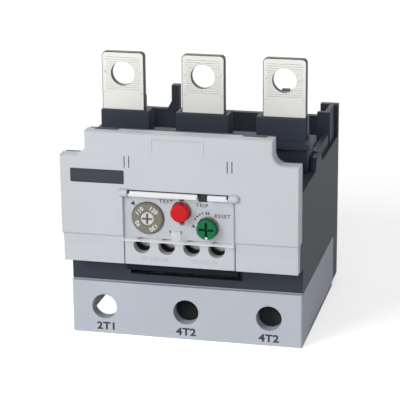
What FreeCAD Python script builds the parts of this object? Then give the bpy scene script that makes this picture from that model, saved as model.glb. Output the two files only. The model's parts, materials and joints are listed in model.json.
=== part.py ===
"""Thermal overload relay: three poles, front controls and the tripping mechanism inside.

Millimetres. X runs along the width, -Y is the front and +Z is up. The origin is the centre of
the overall box, on the plane that the relay stands on. A depth is measured rearwards from the
face of the front cover, and DEPTH_ZERO places that face in the frame.
"""
import FreeCAD, Part
import math
import os
import re
import Sketcher

SIZES = {
    # overall; a value that starts with = is worked out from others
    "cover_width": 95, "case_depth": 98, "tab_top": 109, "button_reach": 3.2, "gap": 0.3,
    "guide_gap": 0.2, "cover_overhang": 0.5, "case_width": "=cover_width - 2 * cover_overhang",
    "shroud_proud": 0.1, "shroud_width": "=case_width + 2 * shroud_proud",
    # front cover
    "cover_low": 33.5, "cover_shoulder": 77, "cover_high": 87, "crown_width": 74.4, "cover_deep": 5.5,
    "cover_wall": 2.2, "rim_wall": 1.8, "neck_radius": 4.5, "cover_bevel": 0.6, "band_high": 45.4,
    "band_low": 40.5, "band_lip": 0.7, "band_step": 1.1, "band_inset": 0.6, "slit_high": 77.7,
    "slit_low": 73.1, "slit_place": 20.35, "tongue_width": 1.5, "slit_width": 0.35, "hook_deep": 10.2,
    "hook_nose": 0.8, "hook_thick": 1.4, "notch_in": 24.5, "notch_out": 34,
    # control panel
    "panel_width": 44.2, "panel_low": 33.6, "panel_high": 61.8, "panel_recess": 1, "panel_deep": 4.5,
    "aux_pitch": 10, "aux_middle": -0.15, "aux_level": 41.6, "aux_radius": 3.3, "aux_head": 2.9,
    "aux_thread": 1.45, "aux_head_thick": 2, "clamp_half": 3.2, "clamp_thick": 1,
    # controls, each by its axis
    "dial_x": -12.4, "dial_z": 53, "dial_radius": 6.3, "dial_front": -0.3, "dial_back": 1.9,
    "hub_radius": 2.65, "hub_bevel": 0.2, "press_gap": 0.1, "cam_radius": 2.6, "cam_growth": 0.4,
    "cam_thick": 2.1, "cam_seat": 1.5, "slot_half": 0.4, "relief_radius": 1.05,
    "test_x": 1.1, "test_z": 56.7, "test_radius": 3.6, "reset_x": 11.6, "reset_z": 50.7,
    "reset_radius": 4, "reset_reach": 2.8, "button_travel": 2, "hole_gap": 0.35, "flange_radius": 4.2,
    "flange_thick": 1, "stem_radius": 2, "stem_end": 23.4, "spring_seat": 12, "spring_wire": 0.45,
    "knob_seat": 1.3, "knob_fit": 1.5,
    "flag_x": 9.75, "flag_width": 3.3, "flag_low": 61, "flag_high": 63.6, "flag_travel": 1.5,
    "flag_front": 0.85, "flag_plate": 6, "flag_drop": 2.6, "flag_tail": 1.15, "rib_pitch": 1,
    # window cover
    "window_side": 0.1, "window_width": "=panel_width - 2 * window_side", "window_low": 43.9,
    "window_front": -1.6, "window_wall": 0.8, "hinge_z": 63.1, "hinge_depth": -0.4,
    "hinge_radius": 0.9, "hinge_inset": 2.2, "hinge_width": "=window_width - 2 * hinge_inset",
    "pivot_radius": 0.5, "boss_radius": 1.6, "boss_wide": 4.1, "window_top": 60.9, "lip_thick": 1.1,
    "latch_left": -3, "latch_right": 2, "latch_high": 4, "latch_proud": 0.6, "test_clear": 0.8,
    "reset_clear": 0.6,
    # case
    "case_low": 22.5, "step_high": 32.7, "side_high": 64.4, "wall": 2.5, "plate_front": 5.6,
    "plate_back": 8.4, "strip_front": 11.5, "slot_room": 0.65, "slot_low": 25.8,
    "slot_width": "=panel_width + 2 * slot_room", "back_wall": 3, "back_high": 73, "leg_deep": 11.4,
    "leg_front": "=case_depth - leg_deep", "leg_low": 1.5, "post_high": 78.5, "rib_high": 69.5,
    "middle_post_high": 84.1, "middle_post_in": 22.6, "middle_post_out": 25.9, "post_foot": 2.5,
    "post_thick": 4, "barrier": 2, "barrier_place": "=pole_pitch / 2", "barrier_front": 41.6,
    "barrier_high": 53,
    "plate_inset": 0.4, "horn_front": 39, "horn_back": 55, "horn_high": 4.6, "horn_shoulder": 3.4,
    "rail_in": 1.5, "rail_wide": 2, "rail_front": 51, "rail_back": "=flange_back + 2",
    "corner_post": 7.6, "flange_in": 1, "flange_wide": 5.5, "post_deep": 18,
    "flange_front": "=case_depth - post_deep", "flange_back": "=flange_front + 2",
    "screw_place": 38, "screw_z": 14, "screw_radius": 1.35, "screw_head": 3, "screw_boss": 3.6,
    # line tabs and their shroud
    "pole_pitch": 33.4, "tab_width": 17.7, "tab_front": 43, "tab_thick": 3, "tab_hole": 5,
    "tab_hole_z": 100.15, "tab_corner": 1.8, "tab_slack": 0.3, "block_high": 85.3, "block_front": 41,
    "block_back": 50, "ledge_low": 74.2, "ledge_high": 76.5, "ledge_front": 34, "ledge_width": 90.6,
    "block_side": 2.05, "block_edge": "=tab_width / 2 + block_side", "block_middle": "=block_edge + 0.2",
    "block_end": "=pole_pitch + tab_width / 2 + 0.1",
    # poles
    "heater_front": 54, "heater_back": 64, "heater_high": 46, "heater_low": 29, "heater_thick": 1.4,
    "heater_half": 5.6, "foot_thick": 3, "bimetal_thick": 1, "bimetal_high": 57.5, "bar_thick": 2,
    "terminal_low": 14, "terminal_thick": 2.6, "terminal_front": 30, "bolt_depth": 42,
    "bolt_radius": 4, "bolt_head": 6.5, "washer_radius": 8, "washer_thick": 1.2, "bar_reach": 3,
    # terminal shroud
    "shroud_front": 10, "shroud_back": "=leg_front - guide_gap", "shroud_wall": 2.2, "roof": 2.4,
    "access_radius": 5.15, "access_z": 11.4, "access_deep": 5, "collar": 1.8, "access_spread": 0.35,
    "foot_back": 23, "foot_rise": 1.5, "foot_end": 30, "seam": 0.5,
    # contact block and the mechanism
    "block_room": 0.3, "block_wide": "=panel_width + 2 * block_room", "block_low": 30,
    "block_top": 61.6, "block_rear": 22, "well_half": 3.7, "well_high": 45.4, "well_front": 8,
    "well_back": 15.5, "tail_thick": 1.2, "tail_end": 30.4,
    "leaf_front": 27.4, "leaf_high": 56, "leaf_thick": 0.4, "contact_gap": 1, "rivet_z": 50.3,
    "rivet_radius": 1.1, "rivet_high": 0.8, "shelf_high": 52.6, "lever_x": 20, "lever_depth": 37.5,
    "front_arm": 7.7, "rear_arm": 11.7, "lever_low": 53.3, "lever_thick": 1.8, "pin_radius": 1.2,
    "shelf_thick": 2.4, "slider_low": 53.6, "slider_thick": 1.2, "slider_gap": 0.4, "slider_left": 7,
    "slider_right": 4.5, "slack": 2.7, "carrier_low": 53, "carrier_thick": 2.6, "carrier_left": 3.05,
    "carrier_right": 4.4, "comp_x": -19.4, "comp_depth": 31, "comp_thick": 1.6, "strip_thick": 0.6,
}

DEPTH_ZERO = "(button_reach / 2 - case_depth / 2)"
POLES = (-1, 0, 1)
SIDES = (-1, 1)
PLANES = {"front": "XZ_Plane", "side": "YZ_Plane", "plan": "XY_Plane"}

doc = FreeCAD.newDocument("overload_relay")
dims = doc.addObject("Spreadsheet::Sheet", "dims")
for row, alias in enumerate(SIZES, 1):
    dims.set(f"A{row}", alias)
    dims.setAlias(f"B{row}", alias)
for row, size in enumerate(SIZES.values(), 1):
    dims.set(f"B{row}", str(size))
doc.recompute()


# ---- expressions -------------------------------------------------------------------------------

def bound(expression):
    """The expression with each named size read from the sheet."""
    def cell(word):
        return "dims." + word.group() if word.group() in SIZES else word.group()
    return re.sub(r"[a-z_]+", cell, str(expression))


def number(expression):
    """The value that the expression has now."""
    return float(dims.evalExpression(bound(expression).replace("dims.", ".")))


def depth(expression):
    """The Y of a depth behind the face of the front cover."""
    return f"({DEPTH_ZERO} + ({expression}))"


# ---- outlines, each in the two coordinates of its view -----------------------------------------

def box(left, right, low, high):
    return ("lines", [(left, low), (right, low), (right, high), (left, high)])


def polygon(*points):
    return ("lines", points)


def disc(across, up, radius):
    return ("circle", (across, up, radius))


def mirrored(points):
    """The points, and then the same points on the other side of X = 0, in reverse."""
    return list(points) + [(f"-({across})", up) for across, up in reversed(points)]


def in_frame(view, across, up):
    """The two coordinates as the sketch of that view needs them, with depths turned into Y."""
    if view == "side":
        return depth(across), up
    if view == "plan":
        return across, depth(up)
    return across, up


def pin_point(sketch, line, end, across, up):
    """Holds one point of the sketch at two distances from its origin."""
    for kind, place in (("DistanceX", across), ("DistanceY", up)):
        limit = Sketcher.Constraint(kind, -1, 1, line, end, number(place))
        sketch.setExpression(f"Constraints[{sketch.addConstraint(limit)}]", bound(place))


def draw(sketch, view, outline):
    kind, data = outline
    if kind == "circle":
        across, up = in_frame(view, data[0], data[1])
        centre = FreeCAD.Vector(number(across), number(up), 0)
        circle = Part.Circle(centre, FreeCAD.Vector(0, 0, 1), number(data[2]))
        line = sketch.addGeometry(circle, False)
        pin_point(sketch, line, 3, across, up)
        limit = sketch.addConstraint(Sketcher.Constraint("Radius", line, number(data[2])))
        sketch.setExpression(f"Constraints[{limit}]", bound(data[2]))
        return
    places = [in_frame(view, across, up) for across, up in data]
    corners = [FreeCAD.Vector(number(across), number(up), 0) for across, up in places]
    lines = [sketch.addGeometry(Part.LineSegment(corner, corners[(i + 1) % len(corners)]), False)
             for i, corner in enumerate(corners)]
    for i, line in enumerate(lines):
        sketch.addConstraint(Sketcher.Constraint("Coincident", line, 2, lines[(i + 1) % len(lines)], 1))
    for line, (across, up) in zip(lines, places):
        pin_point(sketch, line, 1, across, up)


# ---- bodies and their features -----------------------------------------------------------------

def body_named(label):
    body = doc.addObject("PartDesign::Body", "body_" + label)
    body.Label = label
    return body


def origin_plane(body, role):
    return next(item for item in body.Origin.OriginFeatures if item.Role == role)


def sketch_on(body, view, start, outlines):
    """A sketch of the outlines on the view's plane, moved along its axis to start."""
    sketch = body.newObject("Sketcher::SketchObject", body.Label + "_sketch")
    sketch.AttachmentSupport = [(origin_plane(body, PLANES[view]), "")]
    sketch.MapMode = "FlatFace"
    place = f"-{depth(start)}" if view == "front" else start
    sketch.setExpression("AttachmentOffset.Base.z", bound(place))
    for outline in outlines:
        draw(sketch, view, outline)
    return sketch


def extrude(kind, body, view, start, end, outlines):
    """A pad or pocket from start to end along the positive axis of the view."""
    feature = body.newObject("PartDesign::" + kind, f"{body.Label}_{kind.lower()}")
    feature.Profile = sketch_on(body, view, start, outlines)
    feature.setExpression("Length", bound(f"({end}) - ({start})"))
    feature.Reversed = (view == "front") == (kind == "Pad")
    body.Tip = feature
    return feature


def pad(body, view, start, end, *outlines):
    return extrude("Pad", body, view, start, end, outlines)


def cut(body, view, start, end, *outlines):
    return extrude("Pocket", body, view, start, end, outlines)


def turned(kind, body, axis_x, axis_z, profile):
    """A turned piece about a front-to-back axis: profile is (depth, radius) from front to back."""
    sketch = body.newObject("Sketcher::SketchObject", body.Label + "_profile")
    sketch.AttachmentSupport = [(origin_plane(body, "YZ_Plane"), "")]
    sketch.MapMode = "FlatFace"
    sketch.setExpression("AttachmentOffset.Base.z", bound(axis_x))
    sketch.setExpression("AttachmentOffset.Base.y", bound(axis_z))
    draw(sketch, "side", ("lines", [(profile[0][0], "0"), *profile, (profile[-1][0], "0")]))
    feature = body.newObject("PartDesign::" + kind, f"{body.Label}_{kind.lower()}")
    feature.Profile = sketch
    feature.ReferenceAxis = (sketch, ["H_Axis"])
    feature.Angle = 360
    body.Tip = feature
    return feature


def lathe(body, axis_x, axis_z, *profile):
    return turned("Revolution", body, axis_x, axis_z, profile)


def bore(body, axis_x, axis_z, *profile):
    return turned("Groove", body, axis_x, axis_z, profile)


def dress(kind, body, size, wanted):
    """A fillet or chamfer on the edges of the body that the test picks."""
    doc.recompute()
    base = body.Tip
    edges = [f"Edge{i}" for i, edge in enumerate(base.Shape.Edges, 1) if wanted(edge)]
    feature = body.newObject("PartDesign::" + kind, f"{body.Label}_{kind.lower()}")
    feature.Base = (base, edges)
    feature.setExpression("Radius" if kind == "Fillet" else "Size", bound(size))
    body.Tip = feature
    return feature


def along(axis):
    """Tests for straight edges that run along one axis."""
    def test(edge):
        return edge.Curve.TypeId == "Part::GeomLine" and abs(edge.Curve.Direction[axis]) > 0.999
    return test


def near(edge, x=None, y=None, z=None):
    """Whether the middle of the edge lies at the places given; X counts on either side."""
    box_of = edge.BoundBox.Center
    places = ((abs(box_of.x), x), (box_of.y, y), (box_of.z, z))
    return all(place is None or abs(have - number(place)) < 0.02 for have, place in places)


def sided(side, inner, outer):
    """Start and end along X of a stretch from inner to outer on one side, lower value first."""
    return (inner, outer) if side > 0 else (f"-({outer})", f"-({inner})")


def pole_x(pole):
    return f"({pole} * pole_pitch)"


def aux_x(place):
    """X of one of the four auxiliary terminals, 0 to 3 from the left."""
    return f"(aux_middle + {place - 1.5} * aux_pitch)"


# ---- the mouldings -----------------------------------------------------------------------------

def make_front_cover():
    """A shell with a raised crown, hung on hooks, that frames the control panel."""
    body = body_named("front_cover")
    right = [("cover_width / 2", "cover_low"), ("cover_width / 2", "cover_shoulder"),
             ("crown_width / 2", "cover_shoulder"), ("crown_width / 2", "cover_high")]
    pad(body, "front", "0", "cover_deep", polygon(*mirrored(right)))
    dress("Fillet", body, "neck_radius", lambda edge: along(1)(edge) and
          near(edge, x="crown_width / 2", z="cover_shoulder"))
    dress("Chamfer", body, "cover_bevel", lambda edge: near(edge, y=depth("0")) and
          edge.BoundBox.YLength < 0.01)
    inside = [("cover_width / 2 - rim_wall", "cover_low + rim_wall"),
              ("cover_width / 2 - rim_wall", "cover_shoulder - rim_wall"),
              ("crown_width / 2 - rim_wall", "cover_shoulder - rim_wall"),
              ("crown_width / 2 - rim_wall", "cover_high - rim_wall")]
    cut(body, "front", "cover_wall", "cover_deep", polygon(*mirrored(inside)))
    cut(body, "side", "-cover_width", "cover_width",
        polygon(("-1", "band_high"), ("0", "band_high"), ("band_lip", "band_high - band_lip"),
                ("band_step", "band_low"), ("band_step", "cover_low - 1"), ("-1", "cover_low - 1")))
    for side in SIDES:
        edge = f"{side} * (cover_width / 2 - band_inset)"
        out = f"{side} * (cover_width / 2 + 1)"
        cut(body, "front", "0", "cover_deep", polygon((edge, "cover_low - 1"),
            (edge, "band_high - band_lip"), (f"{side} * cover_width / 2", "band_high"),
            (out, "band_high"), (out, "cover_low - 1")))
    cut(body, "front", "0", "cover_deep", box("-panel_width / 2 - gap", "panel_width / 2 + gap",
        "cover_low - 1", "panel_high + gap"))
    cut(body, "front", "0", "cover_deep", box("-hinge_width / 2 - gap", "hinge_width / 2 + gap",
        "panel_high", "hinge_z + hinge_radius + gap"))
    for side in SIDES:
        cover_side_details(body, side)
    return body


def cover_side_details(body, side):
    """Hinge boss, snap hook between its two slits, and the notch in the top wall of one side."""
    inner = "hinge_width / 2 + gap"
    pad(body, "side", *sided(side, inner, f"{inner} + boss_wide"),
        disc("hinge_depth", "hinge_z", "boss_radius"))
    dress("Fillet", body, "boss_radius * 0.9", lambda edge: edge.Curve.TypeId == "Part::GeomCircle" and
          abs(edge.BoundBox.Center.x - side * number(f"{inner} + boss_wide")) < 0.02)
    cut(body, "side", *sided(side, "0", f"{inner} + boss_wide / 2"),
        disc("hinge_depth", "hinge_z", "pivot_radius + press_gap"))
    place, top = f"{side} * slit_place", "slit_high - hook_thick"
    tongue = f"{place} - tongue_width / 2", f"{place} + tongue_width / 2"
    pad(body, "front", "cover_wall", "hook_deep", box(*tongue, f"{top} - hook_thick - 0.2", top))
    pad(body, "front", "hook_deep - hook_thick", "hook_deep",
        box(*tongue, f"{top} - hook_nose", f"{top} + hook_nose"))
    for edge in SIDES:
        slit = f"{place} + {edge} * (tongue_width + slit_width) / 2"
        cut(body, "front", "0", "cover_wall",
            box(f"{slit} - slit_width / 2", f"{slit} + slit_width / 2", "slit_low", "slit_high"))
    cut(body, "front", "cover_deep - rim_wall", "cover_deep",
        box(f"{side} * notch_in", f"{side} * notch_out", "cover_high - rim_wall", "cover_high + 1"))


def flag_span(room):
    """Left and right of the flag with some room on both sides."""
    return f"flag_x - flag_width / 2 - {room}", f"flag_x + flag_width / 2 + {room}"


def make_control_panel():
    """The plate that carries the dial, the two buttons, the flag and the four screw holes."""
    body = body_named("control_panel")
    pad(body, "front", "panel_recess", "panel_deep",
        box("-panel_width / 2", "panel_width / 2", "panel_low", "panel_high"))
    dial_seat = ("dial_x", "dial_z")
    bore(body, *dial_seat, ("0", "dial_radius + gap"), ("dial_back + gap", "dial_radius + gap"))
    bore(body, *dial_seat, ("dial_back", "stem_radius + gap"), ("panel_deep + 1", "stem_radius + gap"))
    cut(body, "front", "0", "panel_deep + 1", disc("test_x", "test_z", "test_radius + hole_gap"))
    for side in SIDES:
        cut(body, "front", "0", "panel_deep + 1",
            disc("test_x", f"test_z + {side} * (test_radius + hole_gap + relief_radius - 0.15)",
                 "relief_radius"))
    cut(body, "front", "0", "panel_deep + 1", disc("reset_x", "reset_z", "reset_radius + gap"))
    for place in range(4):
        cut(body, "front", "0", "panel_deep + 1", disc(aux_x(place), "aux_level", "aux_radius"))
    flag = flag_span("guide_gap")
    cut(body, "front", "0", "panel_deep + 1", box(*flag, "flag_low - guide_gap", "panel_high + 1"))
    cut(body, "front", "panel_deep - flag_travel - gap", "panel_deep + 1",
        box(*flag, "flag_low - flag_drop - cover_bevel", "panel_high + 1"))
    dress("Chamfer", body, "cover_bevel * 0.7", lambda edge: along(2)(edge) and
          near(edge, x="panel_width / 2", y=depth("panel_recess")))
    return body


def make_main_case():
    """The housing: mechanism chamber in front, three pole chambers, deck, rear wall and posts."""
    body = body_named("main_case")
    half = "case_width / 2"
    pad(body, "side", f"-{half}", half,
        polygon(("strip_front", "case_low"), ("case_depth", "case_low"), ("case_depth", "side_high"),
                ("plate_back", "side_high"), ("plate_back", "step_high"), ("strip_front", "step_high")))
    crown, shoulder = "crown_width / 2 - plate_inset", "cover_shoulder - plate_inset"
    right = [(half, "step_high"), (half, shoulder), (crown, shoulder), (crown, "cover_high - plate_inset")]
    pad(body, "front", "plate_front", "plate_back", polygon(*mirrored(right)))
    dress("Fillet", body, "neck_radius", lambda edge: along(1)(edge) and
          near(edge, x=crown, z=shoulder))
    pad(body, "side", f"-{half}", half, box("leg_front", "case_depth", "leg_low", "case_low"))
    hollow_case(body)
    for side in SIDES:
        place = f"{side} * barrier_place"
        pad(body, "plan", "case_low", "barrier_high",
            box(f"{place} - barrier / 2", f"{place} + barrier / 2", "barrier_front",
                "case_depth - back_wall"))
    pad(body, "side", f"-{half}", half,
        box("case_depth - back_wall", "case_depth", "side_high", "back_high"))
    for side in SIDES:
        case_side_walls(body, side)
        case_posts(body, side)
    case_openings(body)
    return body


def hollow_case(body):
    """The chambers, open downwards, and the bay of the rear leg, open to the back and below."""
    inside = "case_width / 2 - wall"
    cut(body, "plan", "case_low", "side_high - wall",
        box(f"-({inside})", inside, "strip_front + wall", "case_depth - back_wall"))
    cut(body, "front", "plate_back", "strip_front + wall",
        box(f"-({inside})", inside, "step_high + wall", "side_high - wall"))
    bay = "case_width / 2 - back_wall"
    cut(body, "plan", "leg_low", "case_low - wall",
        box(f"-({bay})", bay, "leg_front + wall", "case_depth + 1"))


def case_side_walls(body, side):
    """The horn on the side wall and the rail on the deck beside it."""
    top, slope = "side_high + horn_high", "(horn_high - horn_shoulder)"
    pad(body, "side", *sided(side, "case_width / 2 - wall", "case_width / 2"),
        polygon(("horn_front", "side_high"), (f"horn_front + {slope}", "side_high + horn_shoulder"),
                ("horn_front + horn_shoulder", top), ("horn_back - horn_high + 0.6", top),
                ("horn_back", "side_high")))
    dress("Fillet", body, slope, lambda edge: along(0)(edge) and edge.BoundBox.Center.x * side > 0 and
          (near(edge, x="case_width / 2 - wall / 2", z="side_high + horn_shoulder") or
           near(edge, x="case_width / 2 - wall / 2", y=depth("horn_front + horn_shoulder"))))
    pad(body, "plan", "side_high", "rib_high", box(*rail_span(side), "rail_front", "rail_back"))


def rail_span(side):
    """Left and right of the rail near a side wall, which the web of the corner post goes on from."""
    outer = "case_width / 2 - rail_in"
    return sided(side, f"{outer} - rail_wide", outer)


def case_posts(body, side):
    """A corner post of H section and a middle post with its flared root."""
    outer = "case_width / 2"
    pad(body, "plan", "side_high", "post_high",
        box(*sided(side, f"{outer} - corner_post", outer), "case_depth - back_wall", "case_depth"))
    pad(body, "plan", "side_high", "post_high",
        box(*rail_span(side), "flange_front + 1", "case_depth - back_wall"))
    flange = sided(side, f"{outer} - flange_in - flange_wide", f"{outer} - flange_in")
    pad(body, "plan", "side_high", "post_high", box(*flange, "flange_front", "flange_back"))
    foot = f"{side} * (middle_post_out + post_foot)"
    near_side, far_side = f"{side} * middle_post_in", f"{side} * middle_post_out"
    pad(body, "front", "case_depth - post_thick - 1", "case_depth - 1",
        polygon((near_side, "side_high"), (foot, "side_high"), (foot, "back_high - 0.5"),
                (far_side, "back_high + post_foot + 1.7"), (far_side, "middle_post_high"),
                (near_side, "middle_post_high")))


def case_openings(body):
    """The bay for the contact block, the hook windows, the tab slots and the screw holes."""
    cut(body, "front", "plate_front", "plate_back",
        box("-slot_width / 2", "slot_width / 2", "step_high", "hinge_z + hinge_radius"))
    cut(body, "front", "plate_back", "strip_front + wall",
        box("-slot_width / 2", "slot_width / 2", "slot_low", "side_high - wall"))
    for side in SIDES:
        place = f"{side} * slit_place"
        cut(body, "front", "plate_front", "plate_back",
            box(f"{place} - tongue_width / 2 - 0.45", f"{place} + tongue_width / 2 + 0.45",
                "slit_high - 2 * hook_thick - 0.6", "slit_high + hook_nose - 1"))
    for pole in POLES:
        cut(body, "plan", "side_high - wall", "side_high", tab_slot(pole))
    for side in SIDES:
        cut(body, "front", "leg_front", "leg_front + wall",
            disc(f"{side} * screw_place", "screw_z", "screw_radius + 0.55"))


def tab_slot(pole):
    """Outline of the slot that a line tab passes through."""
    x, half = pole_x(pole), "(tab_width / 2 + tab_slack)"
    return box(f"{x} - {half}", f"{x} + {half}", "tab_front - tab_slack",
               "tab_front + tab_thick + tab_slack")


def make_tab_shroud():
    """The block on the deck that the line tabs pass through, with the ledge along its foot."""
    body = body_named("tab_shroud")
    half = "ledge_width / 2 - 1.3"
    pad(body, "side", f"-({half})", half, box("ledge_front + 2", "block_back", "side_high", "ledge_low"))
    pad(body, "side", "-ledge_width / 2", "ledge_width / 2",
        box("ledge_front", "block_back", "ledge_low", "ledge_high"))
    blocks = [("-block_end", "-pole_pitch + block_middle"), ("-block_edge", "block_edge"),
              ("pole_pitch - block_middle", "block_end")]
    for left, right in blocks:
        pad(body, "front", "block_front", "block_back", box(left, right, "ledge_high", "block_high"))
    for pole in POLES:
        cut(body, "plan", "side_high", "block_high", tab_slot(pole))
    dress("Chamfer", body, "cover_bevel * 0.8", lambda edge: along(0)(edge) and
          near(edge, y=depth("block_front"), z="block_high"))
    return body


def make_terminal_shroud():
    """The base: three cable chambers open below, each with a round hole and collar in front."""
    body = body_named("terminal_shroud")
    half = "shroud_width / 2"
    pad(body, "side", f"-{half}", half, box("shroud_front", "shroud_back", "0", "case_low"))
    inner, wall_in = "barrier_place - barrier / 2", "barrier_place + barrier / 2"
    outer = f"{half} - shroud_wall"
    for left, right in ((f"-({outer})", f"-({wall_in})"), (f"-({inner})", inner), (wall_in, outer)):
        cut(body, "plan", "0", "case_low - roof",
            box(left, right, "shroud_front + shroud_wall", "shroud_back - shroud_wall"))
    cut(body, "front", "shroud_front", "strip_front + seam",
        box(f"-{half}", half, "case_low - seam", "case_low"))
    bend = "(foot_end - foot_back) / 3"
    for side in SIDES:
        cut(body, "side", *sided(side, f"{half} - seam", half),
            box("shroud_front", "shroud_back", "case_low - seam", "case_low"))
        cut(body, "side", *sided(side, outer, half),
            polygon(("foot_back", "0"), (f"foot_back + {bend}", "foot_rise * 0.3"),
                    (f"foot_end - {bend}", "foot_rise * 0.85"), ("foot_end", "foot_rise"),
                    ("shroud_back", "foot_rise"), ("shroud_back", "-1"), ("foot_back", "-1")))
    for pole in POLES:
        centre = f"{pole} * (pole_pitch + access_spread)"
        pad(body, "front", "shroud_front + shroud_wall", "shroud_front + access_deep",
            disc(centre, "access_z", "access_radius + collar"))
        cut(body, "front", "shroud_front - 1", "shroud_front + access_deep",
            disc(centre, "access_z", "access_radius"))
        leg = f"{pole_x(pole)} + heater_half + bar_reach"
        cut(body, "plan", "case_low - roof", "case_low",
            box(f"{leg} - bar_thick - guide_gap", f"{leg} + guide_gap", "heater_front - guide_gap",
                "heater_back + guide_gap"))
    for side in SIDES:
        place = f"{side} * screw_place"
        pad(body, "front", "shroud_back - shroud_wall - 8", "shroud_back - shroud_wall",
            disc(place, "screw_z", "screw_boss"))
        cut(body, "front", "shroud_back - 9", "shroud_back", disc(place, "screw_z", "screw_radius + 0.05"))
    dress("Fillet", body, "cover_bevel + 0.2", lambda edge: along(2)(edge) and
          near(edge, x="shroud_width / 2", y=depth("shroud_front")))
    return body


def make_contact_block():
    """The moulding behind the panel: screw wells, guides of the three stems, and the lever shelf."""
    body = body_named("contact_block")
    half, guide = "block_wide / 2", "stem_radius + guide_gap"
    pad(body, "side", f"-{half}", half, box("panel_deep", "block_rear", "block_low", "block_top"))
    for place in range(4):
        x = aux_x(place)
        cut(body, "front", "panel_deep", "well_front + 1", disc(x, "aux_level", "aux_radius"))
        cut(body, "plan", "block_low", "well_high",
            box(f"{x} - well_half", f"{x} + well_half", "well_front", "well_back"))
        cut(body, "front", "well_back", "well_back + 4", disc(x, "aux_level", "aux_thread + 0.35"))
        left, right = tail_span(place)
        cut(body, "front", "well_back", "block_rear",
            box(f"{left} - guide_gap", f"{right} + guide_gap", "well_high - tail_thick - guide_gap",
                "well_high + guide_gap"))
    for x, z in (("test_x", "test_z"), ("reset_x", "reset_z")):
        bore(body, x, z, ("panel_deep - 1", "flange_radius + gap"), ("spring_seat", "flange_radius + gap"))
        bore(body, x, z, ("spring_seat - 1", guide), ("block_rear + 1", guide))
    bore(body, "dial_x", "dial_z", ("panel_deep - 1", guide), ("block_rear + 1", guide))
    cut(body, "front", "panel_deep", "panel_deep + 3",
        box(*flag_span("guide_gap"), "flag_low - flag_drop - cover_bevel", "block_top + 1"))
    cut(body, "front", "panel_deep", "block_rear",
        box("flag_x - flag_tail - 0.25", "flag_x + flag_tail + 0.25", "flag_low - flag_drop - 0.4",
            "flag_low - guide_gap"))
    lever_shelves(body)
    return body


def lever_shelves(body):
    """The two shelves at the back, each with the hole of its pin; one is cut away below the cam."""
    low, high = "shelf_high - shelf_thick", "shelf_high"
    cam_side = "dial_x - cam_radius + 1.2"
    pad(body, "plan", low, high, box("lever_x - 4", "lever_x + 4", "block_rear", "lever_depth + 3.5"))
    pad(body, "plan", low, high, box("comp_x - 10.6", cam_side, "block_rear", "comp_depth + 3.5"))
    cut(body, "plan", low, high,
        box(f"{cam_side} - 3.1", cam_side, "block_rear", "block_rear + cam_thick + 1.1"))
    for x, up in (("lever_x", "lever_depth"), ("comp_x", "comp_depth")):
        cut(body, "plan", low, high, disc(x, up, "pin_radius + 0.04"))


# ---- current path ------------------------------------------------------------------------------

def make_line_tab(pole):
    """A flat bar with a bolt hole above the shroud and a foot on the heater's left leg."""
    body = body_named(f"line_tab_{pole + 2}")
    x = pole_x(pole)
    pad(body, "front", "tab_front", "tab_front + tab_thick",
        box(f"{x} - tab_width / 2", f"{x} + tab_width / 2", "heater_high", "tab_top"))
    dress("Fillet", body, "tab_corner", lambda edge: along(1)(edge) and near(edge, z="tab_top"))
    dress("Chamfer", body, "cover_bevel * 0.6", lambda edge: near(edge, y=depth("tab_front")) and
          edge.BoundBox.YLength < 0.01 and edge.BoundBox.Center.z > number("side_high"))
    cut(body, "front", "tab_front - 1", "tab_front + tab_thick", disc(x, "tab_hole_z", "tab_hole"))
    pad(body, "plan", "heater_high", "heater_high + foot_thick",
        box(f"{x} - tab_width / 2", f"{x} - heater_half + heater_thick", "tab_front + tab_thick - 0.5",
            "heater_back"))
    return body


def make_heater(pole):
    """A resistance strip bent to a U round the bimetal."""
    body = body_named(f"heater_{pole + 2}")
    x = pole_x(pole)
    pad(body, "plan", "heater_low", "heater_high",
        box(f"{x} - heater_half", f"{x} + heater_half", "heater_front", "heater_back"))
    inner = "(heater_half - heater_thick)"
    cut(body, "plan", "heater_low + heater_thick", "heater_high",
        box(f"{x} - {inner}", f"{x} + {inner}", "heater_front - 1", "heater_back + 1"))
    dress("Fillet", body, "heater_thick * 0.9", lambda edge: along(1)(edge) and
          abs(edge.BoundBox.Center.z - number("heater_low")) < 0.01)
    return body


def make_bimetal(pole):
    """A strip that stands on the heater's floor and bends towards -X as it warms."""
    body = body_named(f"bimetal_{pole + 2}")
    x = pole_x(pole)
    pad(body, "plan", "heater_low + heater_thick + gap", "bimetal_high",
        box(f"{x} - bimetal_thick / 2", f"{x} + bimetal_thick / 2", "heater_front + 1", "heater_back - 1"))
    return body


def make_load_bar(pole):
    """From the heater's right leg down through the roof, and forward over the cable chamber."""
    body = body_named(f"load_bar_{pole + 2}")
    x = pole_x(pole)
    leg = f"({x} + heater_half + bar_reach)"
    pad(body, "front", "heater_front", "heater_back",
        polygon((f"{x} + heater_half - heater_thick", "heater_high"),
                (f"{leg} - bar_thick", "heater_high"), (f"{leg} - bar_thick", "terminal_low"),
                (leg, "terminal_low"), (leg, "heater_high + bar_thick"),
                (f"{x} + heater_half - heater_thick", "heater_high + bar_thick")))
    pad(body, "plan", "terminal_low", "terminal_low + terminal_thick",
        box(f"{x} - tab_width / 2", f"{x} + tab_width / 2", "terminal_front", "heater_back"))
    cut(body, "plan", "terminal_low", "terminal_low + terminal_thick",
        disc(x, "bolt_depth", "bolt_radius + 0.2"))
    return body


def hexagon(x, y, radius):
    """Six corners about a centre, as expressions."""
    corners = [(f"{x} + {radius} * cos({60 * i})", f"{y} + {radius} * sin({60 * i})") for i in range(6)]
    return polygon(*corners)


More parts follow.
